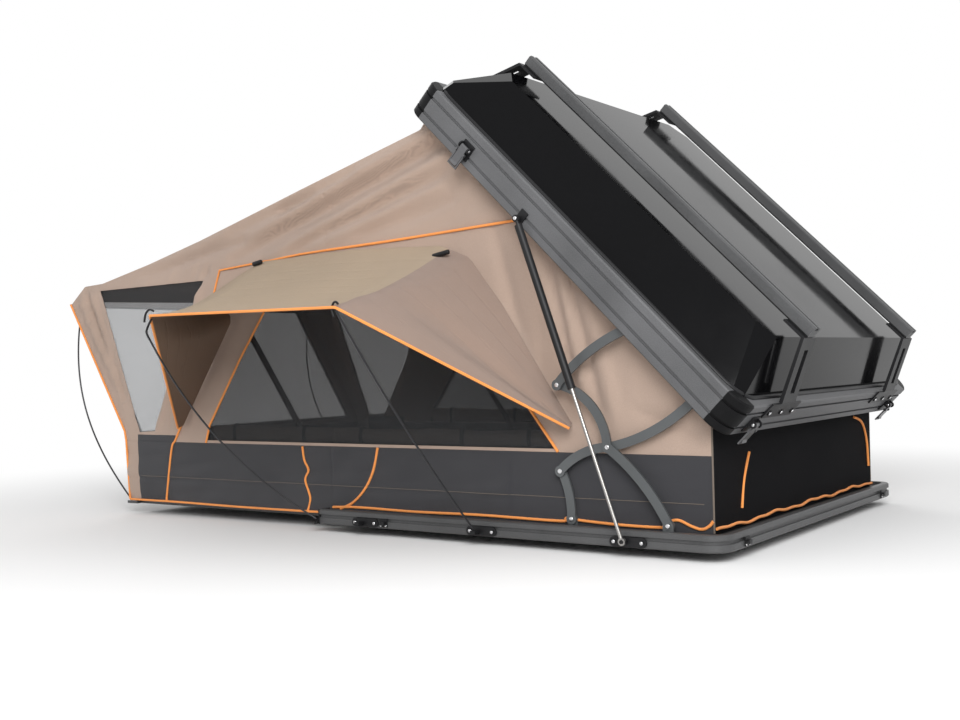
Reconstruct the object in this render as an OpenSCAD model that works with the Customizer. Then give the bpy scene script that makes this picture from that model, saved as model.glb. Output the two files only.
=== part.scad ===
// Hybrid hard-shell roof top tent, shown open: a base tray with a hard lid raised on
// scissor arms and gas struts, a fold-out floor panel, and a canvas cabin with an awning.
// +X points to the lid's hinge end, +Y to the far side, +Z up. All sizes in millimetres.

/* [Base tray] */
// Length of the base tray along the car
base_len = 1344; // [1300:1:1400]
// Width of the base tray across the car
base_w = 1400; // [1360:1:1460]
// Height of the mounting channels under the floor
channel_h = 25; // [20:1:40]
// Width of a mounting channel
channel_w = 60; // [50:1:80]
// Wall of a mounting channel
channel_wall = 4; // [3:0.5:6]
// Distance between the two mounting channels
channel_pitch = 900; // [800:1:1000]
// Distance between the two bolt slots along one channel
slot_pitch = 800; // [700:1:900]
// Width of a bolt slot, for an M8 bolt
slot_w = 9; // [8.5:0.5:11]
// End-to-end length of a bolt slot
slot_len = 60; // [40:1:90]
// Height of the base rail
rail_h = 45; // [40:1:60]
// Width of the base rail
rail_w = 50; // [40:1:56]
// Thickness of the floor board
floor_t = 35; // [20:1:40]
// Outer radius of the corner castings
corner_r = 60; // [50:1:80]

/* [Mattresses] */
// Thickness of each mattress half at its edge
pad_t = 42; // [30:1:45]
// Rise of a mattress half's middle over its edge
pad_crown = 3; // [1:0.5:4]
// Room between the folded mattress halves, where the bow lies
pad_gap = 30; // [27:1:34]
// Distance from the panel's edge in to each mattress
pad_in = 44; // [42:1:80]

/* [Fold-out panel] */
// Distance from the hinge pin to the panel's outer end
panel_len = 1010; // [900:1:1020]
// Distance from the canvas in to the panel's edge
panel_in = 24; // [24:1:36]
// Thickness of the panel board
panel_t = 22; // [16:1:24]
// Width of the panel's edge channel
edge_w = 14; // [10:1:18]
// How far the hinge pin stands in from the tray's end
pin_in = 42; // [38:1:48]
// Thickness of a hinge cheek
cheek_t = 5; // [4:0.5:6]
// Radius of a hinge cheek around its pin
cheek_r = 14; // [12:1:16]
// Radius of the fold hinge pin
fold_pin_r = 5; // [4:0.5:6]

/* [Bow] */
// Outer radius of the bow tube
bow_r = 10; // [8:0.5:11]
// Wall of the bow tube
bow_wall = 1.5; // [1:0.25:3]
// Distance from the panel's edge in to the bow's legs
bow_side = 26; // [24:1:32]
// Length of a bow leg from its pivot to the top bar
bow_leg = 840; // [700:1:860]
// Distance of the bow's pivot from the fold hinge pin
bow_in = 82; // [60:1:100]
// Lean of the bow over the panel, in degrees
bow_lean = 54.6; // [40:0.1:70]
// Bend radius of the bow's corners
bow_bend = 90; // [60:1:120]

/* [Lid] */
// How far the lid is open, in degrees
lid_open = 45; // [45]
// Height of the lid's frame
rim_h = 100; // [90:1:120]
// Thickness of the lid's frame
rim_t = 22; // [18:1:24]
// Gap between the closed lid's frame and the base rail
rim_gap = 2; // [1:0.5:4]
// Distance of the lid's turning axis past the hinge end
hinge_out = 288; // [288]
// Height of the lid's turning axis over the rim
hinge_up = 132; // [132]
// Height of the lid skin's flat top over the rim
crown_n = 238; // [200:1:240]
// Thickness of the lid skin
skin_t = 4; // [3:0.5:6]
// Thickness of the quilted headliner
liner_t = 8; // [5:1:12]

/* [Load bars] */
// Distance of a load bar from the tray's side
bar_in = 260; // [230:1:300]
// Width of a load bar
bar_w = 46; // [40:1:60]
// Height of a load bar
bar_h = 33; // [28:1:40]
// Height of a load bar's top over the rim
bar_top_n = 302; // [285:1:310]
// Opening of the load bar's slot
bar_slot = 11; // [8:1:14]
// Thickness of the bar brackets' sheet
bracket_t = 5; // [3:0.5:6]

/* [Scissor arms] */
// Width of a scissor arm
arm_w = 25; // [22:1:30]
// Radius of the arm's eyes
eye_r = 15; // [13:1:17]
// Thickness of a scissor arm
arm_t = 7; // [6:0.5:7]
// Radius of the arm pins
arm_pin_r = 5; // [4:0.5:6]
// Clearance between a pin and its eye
pin_gap = 0.3; // [0.2:0.05:0.4]

/* [Gas struts] */
// Outer radius of the strut cylinder
strut_r = 11; // [9:0.5:12]
// Radius of the strut rod
strut_rod_r = 5; // [4:0.5:6]
// Length of the strut cylinder
strut_cyl = 470; // [440:1:480]
// Length of the strut rod from its eye
strut_rod = 476; // [460:1:480]

/* [Latches] */
// Width of a latch plate
latch_w = 44; // [40:1:50]
// Distance of the end latches from the tray's side
latch_in = 132; // [110:1:160]
// Distance of the side latches from the fold end
latch_x = 259; // [230:1:290]
// Length of a latch lever below its pin
lever_len = 50; // [40:1:54]
// Thickness of the lever and loop
lever_t = 4; // [3:0.5:5]

/* [Canvas] */
// Distance from the tray's side in to the canvas wall
wall_in = 64; // [63:0.5:66]
// Thickness of the canvas
cloth_t = 3; // [2:0.5:3]
// Height of the dark lower band's top edge
band_top = 261; // [240:1:280]
// Distance of the awning's free edge from the canvas wall
awning_out = 494; // [360:1:560]
// Sag of the awning between its supports
awning_sag = 26; // [5:1:40]
// Radius of the awning rods
rod_r = 3; // [2.5:0.5:4]

/* [Hidden] */
$fn = 48;

half_len = base_len / 2;
half_w = base_w / 2;
rail_top = channel_h + rail_h;
floor_top = channel_h + floor_t;
rim_z = rail_top + rim_gap;
seat = 0.3;

// Widths that follow the tray's, from the outside in
wall_y = half_w - wall_in;
panel_half_w = wall_y - panel_in;
bow_half_w = panel_half_w - bow_side;
pad_half_w = panel_half_w - pad_in;
latch_y = half_w - latch_in;
bar_y = half_w - bar_in;
awning_y = wall_y + awning_out;

// Turning axis of the lid, and where a point of the closed lid is when it is open
px = half_len + hinge_out;
pz = rim_z + hinge_up;
function opened(p) = [
    px + cos(lid_open) * (p[0] - px) + sin(lid_open) * (p[1] - pz),
    pz - sin(lid_open) * (p[0] - px) + cos(lid_open) * (p[1] - pz)];

// Fold hinge pin
pin_x = -half_len + pin_in;
pin_z = floor_top + pad_t + pad_gap / 2;
panel_end = pin_x - panel_len;
panel_z0 = floor_top - panel_t;

// Scissor pivots in the open pose, from the hinge end and the rail's top
arm_a = [half_len - 168, rail_top + 12];
arm_b = [half_len - 466, rail_top + 12];
arm_c = [half_len - 493.7, rail_top + 141.4];
arm_d = [half_len - 342, rail_top + 210];
arm_f = [half_len - 486.6, rail_top + 376];
lid_e = [half_len - 122.8, rim_z + 36.5];
lid_g = [half_len - 367.5, rim_z + 32.3];
arm_e = opened(lid_e);
arm_g = opened(lid_g);

// Layers of the arms, as distances from the middle: top link, long arm, cross arm, short link
rim_in = half_w - rim_t;
layer_gap = 0.5;
head_gap = 3;
top_y = rim_in - 1.3 - arm_t;
long_y = top_y - head_gap - arm_t;
cross_y = long_y - layer_gap - arm_t;
short_y = cross_y - layer_gap - arm_t;

// Gas strut: lower pivot on the base, upper pivot on the lid
strut_y = half_w + 21.5;
strut_low = [half_len - 274, rail_top - 27];
lid_strut = [half_len - 813, rim_z + 15];
strut_high = opened(lid_strut);
strut_open = norm(strut_high - strut_low);
strut_tilt = atan2(strut_high[0] - strut_low[0], strut_high[1] - strut_low[1]);

// Colours as in the photograph
alloy = "#8d9092";
dark_alloy = "#55585a";
black = "#1b1b1d";
gloss_black = "#121315";
steel = "#c9cccd";
tan_cloth = "#9c8672";
khaki = "#a5977f";
charcoal = "#3a3b3d";
net = "#4a4d4e";
foam = "#7d7f80";

// Puts children modelled on the closed lid into the open pose
module on_lid() {
    translate([px, 0, pz]) rotate([0, lid_open, 0]) translate([-px, 0, -pz]) children();
}

// Draws children on the near side and mirrored on the far side
module both_sides() {
    children();
    mirror([0, 1, 0]) children();
}

// Draws a child of the near side on the side that is asked for
module on_side(far) {
    mirror([0, far ? 1 : 0, 0]) children();
}

// Slab of an X-Z outline on the near side, from distance a to distance b
module slab(a, b) {
    translate([0, -a, 0]) rotate([90, 0, 0]) linear_extrude(b - a) children();
}

// Slab of an X-Z outline across the whole width
module across(half) {
    translate([0, half, 0]) rotate([90, 0, 0]) linear_extrude(2 * half) children();
}

// Straight round bar between two points
module bar_between(p, q, r) {
    v = q - p;
    translate(p) rotate([0, acos(v[2] / norm(v)), atan2(v[1], v[0])]) cylinder(h = norm(v), r = r);
}

// Curved flat bar between p and q, bulging by sag to the left of the way from p to q
module arc_bar(p, q, sag, w) {
    v = q - p;
    left = [-v[1], v[0]] / norm(v);
    r = (norm(v) * norm(v) / 4 + sag * sag) / (2 * abs(sag));
    mid = (p + q) / 2;
    c = mid + left * (sag - sign(sag) * r);
    reach = 1.6;
    intersection() {
        translate(c) difference() {
            circle(r + w / 2, $fn = 96);
            circle(r - w / 2, $fn = 96);
        }
        polygon([c, c + (p - c) * reach, c + (mid + left * sag - c) * 2 * reach, c + (q - c) * reach]);
    }
}

module eye(p) {
    translate(p) circle(eye_r);
}

module bore(p, r) {
    translate(p) circle(r);
}

// Closed skin over a grid of points: rows of equal length, front and back
module sheet(front, back) {
    rows = len(front);
    cols = len(front[0]);
    n = rows * cols;
    points = concat([for (row = front) for (p = row) p], [for (row = back) for (p = row) p]);
    function id(i, j) = i * cols + j;
    faces = [
        for (i = [0:rows - 2]) for (j = [0:cols - 2]) for (k = [0, 1])
            k == 0 ? [id(i, j), id(i, j + 1), id(i + 1, j + 1)] : [id(i, j), id(i + 1, j + 1), id(i + 1, j)],
        for (i = [0:rows - 2]) for (j = [0:cols - 2]) for (k = [0, 1])
            k == 0 ? [n + id(i, j), n + id(i + 1, j + 1), n + id(i, j + 1)]
                : [n + id(i, j), n + id(i + 1, j), n + id(i + 1, j + 1)],
        for (i = [0:rows - 2]) for (k = [0, 1])
            k == 0 ? [id(i, 0), id(i + 1, 0), n + id(i + 1, 0)] : [id(i, 0), n + id(i + 1, 0), n + id(i, 0)],
        for (i = [0:rows - 2]) for (k = [0, 1])
            k == 0 ? [id(i + 1, cols - 1), id(i, cols - 1), n + id(i, cols - 1)]
                : [id(i + 1, cols - 1), n + id(i, cols - 1), n + id(i + 1, cols - 1)],
        for (j = [0:cols - 2]) for (k = [0, 1])
            k == 0 ? [id(0, j + 1), id(0, j), n + id(0, j)] : [id(0, j + 1), n + id(0, j), n + id(0, j + 1)],
        for (j = [0:cols - 2]) for (k = [0, 1])
            k == 0 ? [id(rows - 1, j), id(rows - 1, j + 1), n + id(rows - 1, j + 1)]
                : [id(rows - 1, j), n + id(rows - 1, j + 1), n + id(rows - 1, j)]];
    polyhedron(points, faces);
}

// Tube of eight sides swept along points that lie in an X-Z plane
module swept_rod(points, r) {
    sides = 8;
    n = len(points);
    function along(i) = let (d = points[min(i + 1, n - 1)] - points[max(i - 1, 0)]) d / norm(d);
    rings = [for (i = [0:n - 1]) let (d = along(i), s = [-d[2], 0, d[0]])
        for (k = [0:sides - 1]) points[i] + r * (cos(360 * k / sides) * s + sin(360 * k / sides) * [0, 1, 0])];
    function id(i, k) = i * sides + k % sides;
    faces = [
        for (i = [0:n - 2]) for (k = [0:sides - 1]) for (h = [0, 1])
            h == 0 ? [id(i, k), id(i, k + 1), id(i + 1, k + 1)] : [id(i, k), id(i + 1, k + 1), id(i + 1, k)],
        for (k = [1:sides - 2]) [id(0, 0), id(0, k + 1), id(0, k)],
        for (k = [1:sides - 2]) [id(n - 1, 0), id(n - 1, k), id(n - 1, k + 1)]];
    polyhedron([for (p = rings) p], faces);
}

// Mattress: rounded outline with drawn-in sides and a crowned top, standing on z = 0
module mattress(x0, x1, half) {
    corner = 40;
    steps = 5;
    cx = (x0 + x1) / 2;
    hx = (x1 - x0) / 2;
    // Inset from the outline and height of each ring, from the bottom up
    rings = [[5, 0], [0, 6], [7, pad_t / 2], [0, pad_t - 7], [6, pad_t],
        [120, pad_t + pad_crown * 0.6], [300, pad_t + pad_crown]];
    function ring(inset, z) = [for (q = [0:3]) for (s = [0:steps])
        let (a = 90 * q + 90 * s / steps, r = max(corner - inset / 4, 8),
            sx = (q == 0 || q == 3) ? 1 : -1, sy = q < 2 ? 1 : -1)
        [cx + sx * (hx - inset - r) + r * cos(a), sy * (half - inset - r) + r * sin(a), z]];
    m = 4 * (steps + 1);
    n = len(rings);
    points = concat([for (g = rings) for (p = ring(g[0], g[1])) p],
        [[cx, 0, 0], [cx, 0, pad_t + pad_crown]]);
    function id(i, k) = i * m + k % m;
    faces = [
        for (i = [0:n - 2]) for (k = [0:m - 1]) for (h = [0, 1])
            h == 0 ? [id(i, k), id(i + 1, k + 1), id(i, k + 1)] : [id(i, k), id(i + 1, k), id(i + 1, k + 1)],
        for (k = [0:m - 1]) [n * m, id(0, k), id(0, k + 1)],
        for (k = [0:m - 1]) [n * m + 1, id(n - 1, k + 1), id(n - 1, k)]];
    polyhedron(points, faces);
}

// Mounting channel with its two bolt slots
module mount_channel(y) {
    len_x = base_len - 2 * corner_r;
    difference() {
        translate([-len_x / 2, y - channel_w / 2, 0]) cube([len_x, channel_w, channel_h]);
        translate([-len_x / 2 - 1, y - channel_w / 2 + channel_wall, channel_wall])
            cube([len_x + 2, channel_w - 2 * channel_wall, channel_h]);
        for (x = [-slot_pitch / 2, slot_pitch / 2]) translate([x, y, -1]) bolt_slot();
    }
}

module bolt_slot() {
    run = slot_len - slot_w;
    for (x = [-run / 2, run / 2]) translate([x, 0, 0]) cylinder(h = channel_wall + 2, d = slot_w);
    translate([-run / 2, -slot_w / 2, 0]) cube([run, slot_w, channel_wall + 2]);
}

module mount_channels() {
    color(dark_alloy) for (s = [-1, 1]) mount_channel(s * channel_pitch / 2);
}

module floor_board() {
    x1 = half_len - rail_w;
    y1 = half_w - rail_w;
    cut = corner_r - rail_w;
    color(black) translate([0, 0, channel_h]) linear_extrude(floor_t) polygon([[pin_x, -y1], [x1 - cut, -y1],
        [x1, -y1 + cut], [x1, y1 - cut], [x1 - cut, y1], [pin_x, y1]]);
}

// Section of a base rail: outer face at 0, with an accessory groove, and a lower ledge inside
// the lid's frame that the scissor arms fold onto
groove_w = 10;
groove_d = 6;
ledge_drop = 16;
module rail_section() {
    mid = rail_h * 0.56;
    polygon([[0, 4], [4, 0], [rail_w, 0], [rail_w, rail_h - ledge_drop], [rim_t, rail_h - ledge_drop],
        [rim_t, rail_h], [3, rail_h], [0, rail_h - 3],
        [0, mid + groove_w / 2], [groove_d, mid + groove_w / 2],
        [groove_d, mid - groove_w / 2], [0, mid - groove_w / 2]]);
}

module base_side_rails() {
    color(alloy) both_sides() translate([-half_len, -half_w, channel_h]) rotate([90, 0, 90])
        linear_extrude(base_len - corner_r) rail_section();
}

module base_rail_end() {
    color(alloy) translate([half_len, -half_w + corner_r, channel_h]) rotate([90, 0, 180])
        linear_extrude(base_w - 2 * corner_r) rail_section();
}

// Rounded castings that join the rails at the hinge end
module base_corners() {
    color(dark_alloy) both_sides() translate([half_len - corner_r, -half_w + corner_r, channel_h])
        rotate([0, 0, -90]) rotate_extrude(angle = 90)
            translate([corner_r, 0]) mirror([1, 0]) rail_section();
}

// End caps of the side rails, each with an eye that takes an awning rod
cap_t = 5;
module rail_caps() {
    color(black) both_sides() {
        translate([-half_len - cap_t, -half_w, channel_h]) cube([cap_t, rail_w, rail_h]);
        translate([-half_len - cap_t, 0, 0]) rotate([90, 0, 90]) linear_extrude(cap_t) difference() {
            polygon([[-half_w, channel_h + rail_h / 2], [-half_w - 20, channel_h + 12],
                [-half_w - 20, channel_h + 2], [-half_w, channel_h + 2]]);
            translate([-half_w - 12, channel_h + 8]) circle(rod_r + 1);
        }
    }
}

// Plate with rounded ends and screw heads, on the outer face of a base rail
plate_t = 5;
plate_h = 26;
plate_z = channel_h + 15;
module screw_plate(x0, x1) {
    r = plate_h / 2;
    slab(half_w, half_w + plate_t) {
        translate([x0, plate_z - r]) square([x1 - x0, plate_h]);
        for (x = [x0, x1]) translate([x, plate_z]) circle(r);
    }
    for (x = [x0, x1]) slab(half_w + plate_t, half_w + plate_t + 3) difference() {
        translate([x, plate_z]) circle(6);
        translate([x, plate_z]) circle(2.5, $fn = 6);
    }
}

strut_eye_t = 8;
stud_h = 9.5;
module strut_plates() {
    color(black) both_sides() {
        screw_plate(half_len - 307, half_len - 226);
        slab(half_w + plate_t, strut_y + strut_eye_t / 2 + 3) translate(strut_low) circle(arm_pin_r - pin_gap / 2);
        slab(half_w + plate_t, strut_y - strut_eye_t / 2 - seat) translate(strut_low) circle(9);
    }
}

// Plates with a lug and a hole for the awning rods
rod_x = half_len - 741;
lug = 16;
lug_deep = 24;
module rod_plates() {
    color(black) both_sides() for (x = [-half_len + 151, rod_x - 25]) {
        screw_plate(x, x + 75);
        translate([x + 25 - lug / 2, -half_w - plate_t - lug_deep, plate_z - 8]) difference() {
            cube([lug, lug_deep, 12]);
            translate([lug / 2, 7, -1]) cylinder(h = 14, r = rod_r + 0.5);
        }
    }
}

// Catch for a latch loop, outward along +X from x = 0, on the middle of y = 0
module catch() {
    top = rail_top - 16;
    translate([0, -14, top - 24]) cube([4, 28, 24]);
    translate([4, -9, top - 12]) cube([8, 18, 5]);
    translate([9, -9, top - 18]) cube([3, 18, 6]);
}

module at_end_latch(far) {
    translate([half_len, far ? latch_y : -latch_y, 0]) children();
}

module at_side_latch(far) {
    on_side(far) translate([-half_len + latch_x, -half_w, 0]) rotate([0, 0, -90]) children();
}

module at_latches() {
    for (far = [false, true]) {
        at_end_latch(far) children();
        at_side_latch(far) children();
    }
}

module latch_catches() {
    color(black) at_latches() catch();
}

// Feet with the pins that the long arms and the short links turn on: outside the long arm,
// and inside the short link
foot_t = 4;
module arm_feet() {
    a = long_y + arm_t + seat;
    b = short_y - seat;
    color(dark_alloy) both_sides() {
        slab(a, a + foot_t) {
            translate(arm_a) circle(eye_r);
            translate([arm_a[0] - eye_r, rail_top - ledge_drop])
                square([2 * eye_r, arm_a[1] - rail_top + ledge_drop]);
        }
        slab(long_y, a) translate(arm_a) circle(arm_pin_r);
        slab(a + foot_t, a + foot_t + 2) translate(arm_a) circle(9);
        slab(b - foot_t, b) {
            translate(arm_b) circle(eye_r);
            translate([arm_b[0] - eye_r, floor_top]) square([2 * eye_r, arm_b[1] - floor_top]);
        }
        slab(b, short_y + arm_t) translate(arm_b) circle(arm_pin_r);
    }
}

// Raised hinge cheeks on the tray, with the pin that the panel folds on
base_cheek_y = panel_half_w + cheek_t + 3;
module base_hinge_cheeks() {
    color(dark_alloy) both_sides() {
        slab(base_cheek_y, base_cheek_y + cheek_t) {
            translate([pin_x, pin_z]) circle(cheek_r);
            polygon([[pin_x + 1, floor_top], [pin_x + 60, floor_top], [pin_x + 60, floor_top + 14],
                [pin_x + cheek_r, pin_z], [pin_x - cheek_r * 0.7, pin_z - cheek_r * 0.7], [pin_x + 1, floor_top + 8]]);
        }
        slab(panel_half_w, base_cheek_y) translate([pin_x, pin_z]) circle(fold_pin_r);
    }
}

module base_mattress() {
    color(foam) translate([0, 0, floor_top + seat])
        mattress(pin_x + 8, half_len - rail_w - 20, pad_half_w);
}

module panel_board() {
    inner = panel_half_w - edge_w / 2;
    color(black) translate([panel_end + edge_w / 2, -inner, panel_z0])
        cube([panel_len - edge_w / 2 - 2, 2 * inner, panel_t]);
}

// Edge channels round three sides of the panel, with lugs for the eave rods
edge_lip = 3;
lug_out = 40;
lug_h = 9;
lug_y = panel_half_w + 8;
module panel_edge() {
    z0 = panel_z0 - edge_lip;
    h = panel_t + 2 * edge_lip;
    inner = panel_half_w - edge_w / 2;
    color(alloy) {
        difference() {
            union() {
                both_sides() translate([panel_end, -panel_half_w, z0]) cube([panel_len - 2, edge_w, h]);
                translate([panel_end, -panel_half_w, z0]) cube([edge_w, 2 * panel_half_w, h]);
            }
            translate([panel_end + edge_w / 2, -inner, panel_z0]) cube([panel_len, 2 * inner, panel_t]);
        }
        both_sides() translate([panel_end - lug_out, -lug_y - 12, z0])
            cube([lug_out + edge_w, lug_y + 18 - panel_half_w, lug_h]);
    }
}

// Gooseneck cheeks on the panel's sides: they turn on the fold pin, pass under the closed
// lid's frame and carry the bow's pivot outside it
bow_x = pin_x - bow_in;
neck_z = floor_top - 10;
module panel_hinge_cheeks() {
    color(dark_alloy) both_sides() {
        slab(panel_half_w, panel_half_w + cheek_t) difference() {
            union() {
                for (x = [pin_x, bow_x]) translate([x, pin_z]) circle(cheek_r);
                translate([bow_x - cheek_r, neck_z]) square([2 * cheek_r, pin_z - neck_z]);
                polygon([[bow_x - 40, neck_z], [pin_x - 10, neck_z], [pin_x - 2, neck_z + 8],
                    [pin_x - 2, floor_top + 15], [pin_x + cheek_r, pin_z - 17], [pin_x + cheek_r, pin_z],
                    [pin_x - cheek_r, pin_z], [pin_x - cheek_r, floor_top + 6],
                    [bow_x - cheek_r, floor_top + 6], [bow_x - 40, floor_top - 4]]);
            }
            bore([pin_x, pin_z], fold_pin_r + pin_gap);
        }
        slab(bow_half_w - bow_r, panel_half_w) translate([bow_x, pin_z]) circle(4);
        slab(panel_half_w - 10, panel_half_w) translate([bow_x, pin_z]) circle(9);
    }
}

module panel_mattress() {
    color(foam) translate([0, 0, floor_top + seat])
        mattress(panel_end + edge_w + 8, -half_len - 12, pad_half_w);
}

// Bow: two legs and a top bar of bent tube, turning on the panel's cheeks
module bow() {
    color(black) translate([bow_x, 0, pin_z]) rotate([0, bow_lean, 0]) rotate([0, 0, 180]) difference() {
        union() {
            for (s = [-1, 1]) translate([0, s * bow_half_w, 0]) {
                rotate([0, 90, 0]) bow_tube(bow_leg - bow_bend);
                rotate([90, 0, 0]) translate([0, 0, -bow_r]) cylinder(h = 2 * bow_r, r = bow_r);
                translate([bow_leg - bow_bend, -s * bow_bend, 0]) rotate([0, 0, s > 0 ? 0 : -90])
                    rotate_extrude(angle = 90) translate([bow_bend, 0]) circle(bow_r);
            }
            translate([bow_leg, -bow_half_w + bow_bend, 0]) rotate([-90, 0, 0])
                bow_tube(2 * (bow_half_w - bow_bend));
        }
        rotate([90, 0, 0]) translate([0, 0, -base_w]) cylinder(h = 2 * base_w, r = 4 + pin_gap);
    }
}

module bow_tube(l) {
    difference() {
        cylinder(h = l, r = bow_r);
        translate([0, 0, 2 * bow_r]) cylinder(h = l - 4 * bow_r, r = bow_r - bow_wall);
    }
}

// Section of the lid's frame: outer face at 0, two accessory grooves and a top flange
flange = 26;
module rim_section(lip = flange) {
    g = 5;
    polygon([[0, 3], [3, 0], [rim_t, 0], [rim_t, rim_h - 8], [rim_t + lip - 4, rim_h - 8],
        [rim_t + lip, rim_h - 4], [rim_t + lip, rim_h], [4, rim_h], [0, rim_h - 4],
        [0, 0.78 * rim_h], [g, 0.78 * rim_h], [g, 0.7 * rim_h], [0, 0.7 * rim_h],
        [0, 0.3 * rim_h], [g, 0.3 * rim_h], [g, 0.22 * rim_h], [0, 0.22 * rim_h]]);
}

module lid_rail_side() {
    on_lid() translate([-half_len + corner_r, -half_w, rim_z]) rotate([90, 0, 90])
        linear_extrude(base_len - 2 * corner_r) rim_section();
}

module lid_rail_near() {
    color(alloy) lid_rail_side();
}

module lid_rail_far() {
    color(alloy) mirror([0, 1, 0]) lid_rail_side();
}

module lid_rail_end(lip) {
    translate([half_len, -half_w + corner_r, rim_z]) rotate([90, 0, 180])
        linear_extrude(base_w - 2 * corner_r) rim_section(lip);
}

module lid_rail_hinge_end() {
    color(alloy) on_lid() lid_rail_end(flange);
}

// Its flange is narrower, so that the folded panel's cheeks pass it
module lid_rail_fold_end() {
    color(alloy) on_lid() mirror([1, 0, 0]) lid_rail_end(flange - 8);
}

module lid_corners() {
    color(dark_alloy) on_lid() both_sides() for (m = [0, 1]) mirror([m, 0, 0])
        translate([half_len - corner_r, -half_w + corner_r, rim_z]) rotate([0, 0, -90])
            rotate_extrude(angle = 90) translate([corner_r, 0]) mirror([1, 0]) rim_section();
}

// Folded lid skin: four slopes up to a flat top, with cut corners; its fold end stands upright as
// far as the folded panel reaches, and slopes above that
skin_in = rim_t + 14;
skin_corner = 30;
top_fold_in = 110;
top_hinge_in = 105;
top_side_in = 126;
top_corner = 60;
skin_step = 32;
module skin_outline(x0, x1, y, c0, c1) {
    polygon([[x0, c0 - y], [x0 + c0, -y], [x1 - c1, -y], [x1, c1 / 2 - y],
        [x1, y - c1 / 2], [x1 - c1, y], [x0 + c0, y], [x0, y - c0]]);
}

module skin_solid(inset, drop) {
    thin = 0.1;
    x0 = -half_len + skin_in + inset;
    x1 = half_len - skin_in - inset;
    y = half_w - skin_in - inset;
    up = skin_step / (crown_n - rim_h);
    hull() {
        translate([0, 0, rim_z + rim_h - inset]) linear_extrude(thin)
            skin_outline(x0, x1, y, skin_corner / 2, skin_corner);
        translate([0, 0, rim_z + rim_h + skin_step]) linear_extrude(thin)
            skin_outline(x0 + 1, x1 - up * (top_hinge_in - skin_in), y - up * (top_side_in - skin_in),
                skin_corner / 2, skin_corner + up * (top_corner - skin_corner));
        translate([0, 0, rim_z + crown_n - drop - thin]) linear_extrude(thin)
            skin_outline(-half_len + top_fold_in + inset, half_len - top_hinge_in - inset,
                half_w - top_side_in - inset, top_corner, top_corner);
    }
}

module lid_skin() {
    color(gloss_black) on_lid() difference() {
        skin_solid(0, 0);
        skin_solid(skin_t, skin_t);
    }
}

// Quilted headliner under the flat of the lid
module headliner() {
    inset = top_side_in + 44;
    x0 = -half_len + top_fold_in + 30;
    x1 = half_len - top_hinge_in - 120;
    color(foam) on_lid() translate([x0, -half_w + inset, rim_z + crown_n - skin_t - liner_t - seat])
        cube([x1 - x0, base_w - 2 * inset, liner_t]);
}

// Load bar with an accessory slot along its top
bar_x0 = -half_len + 96;
bar_x1 = half_len - 70;
module load_bar(y) {
    h = bar_h;
    w = bar_w / 2;
    s = bar_slot / 2;
    on_lid() translate([bar_x0, y, rim_z + bar_top_n - h]) rotate([90, 0, 90])
        linear_extrude(bar_x1 - bar_x0) polygon([[-w, 5], [-w + 5, 0], [w - 5, 0], [w, 5], [w, h - 4],
            [w - 6, h], [s, h], [s, h - 4], [s + 6, h - 4], [s + 6, h - 10], [-s - 6, h - 10],
            [-s - 6, h - 4], [-s, h - 4], [-s, h], [-w + 6, h], [-w, h - 4]]);
}

module load_bars() {
    color(black) for (s = [-1, 1]) load_bar(s * bar_y);
}

screw_pitch = 78;
// Sheet bracket with a long slot, from the lid's end face up to the end of a load bar
module bar_bracket(face_x, bar_x, into) {
    t = bracket_t;
    w = 46;
    foot_half = screw_pitch + 20;
    z0 = rim_z + 58;
    z1 = rim_z + rim_h + 6;
    z2 = rim_z + bar_top_n - bar_h;
    reach = bar_x + into * 70;
    outer = face_x - into * t;
    difference() {
        union() {
            // Foot, wider than the web, held by three screws
            translate([min(outer, face_x), -foot_half, z0]) cube([t, 2 * foot_half, z1 - z0]);
            across(w) polygon([[outer, z1 - 1], [face_x, z1 - 1], [face_x + into * 4, z1],
                [bar_x + into * t, z2 - t], [reach, z2 - t], [reach, z2], [bar_x - into * 2, z2],
                [outer, z1 + 4]]);
        }
        across(14) polygon([[face_x - 90, z1 + 26], [face_x + 90, z1 + 26],
            [face_x + 90, z2 - 30], [face_x - 90, z2 - 30]]);
        for (y = [-screw_pitch, 0, screw_pitch]) translate([face_x - 20, y, (z0 + z1) / 2 - 6]) rotate([0, 90, 0]) cylinder(h = 40, r = 4);
    }
    for (y = [-screw_pitch, 0, screw_pitch]) translate([into > 0 ? face_x - t - 3 : face_x, y, (z0 + z1) / 2 - 6])
        rotate([0, 90, 0]) {
            cylinder(h = t + 3, r = 4);
            translate([0, 0, into > 0 ? 0 : t]) cylinder(h = 3, r = 8);
        }
}

module bar_brackets() {
    color(black) on_lid() for (y = [-bar_y, bar_y]) translate([0, y, 0]) {
        bar_bracket(-half_len, bar_x0, 1);
        bar_bracket(half_len, bar_x1, -1);
    }
}

// Low studs on the lid's sides, beside the upper eyes of the gas struts
module strut_studs() {
    color(black) on_lid() both_sides() {
        slab(half_w, half_w + plate_t) {
            translate(lid_strut) circle(13);
            translate([lid_strut[0] - 13, lid_strut[1]]) square([26, 26]);
        }
        slab(half_w + plate_t, half_w + stud_h) translate(lid_strut) circle(8);
    }
}

// Bosses inside the lid's frame for the cross arms and the top links
module lid_arm_bosses() {
    color(dark_alloy) on_lid() both_sides() {
        slab(cross_y + arm_t + seat, rim_in) translate(lid_e) circle(13);
        slab(top_y, rim_in) translate(lid_g) circle(arm_pin_r);
        slab(rim_in - 1, rim_in) translate(lid_g) circle(13);
    }
}

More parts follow.
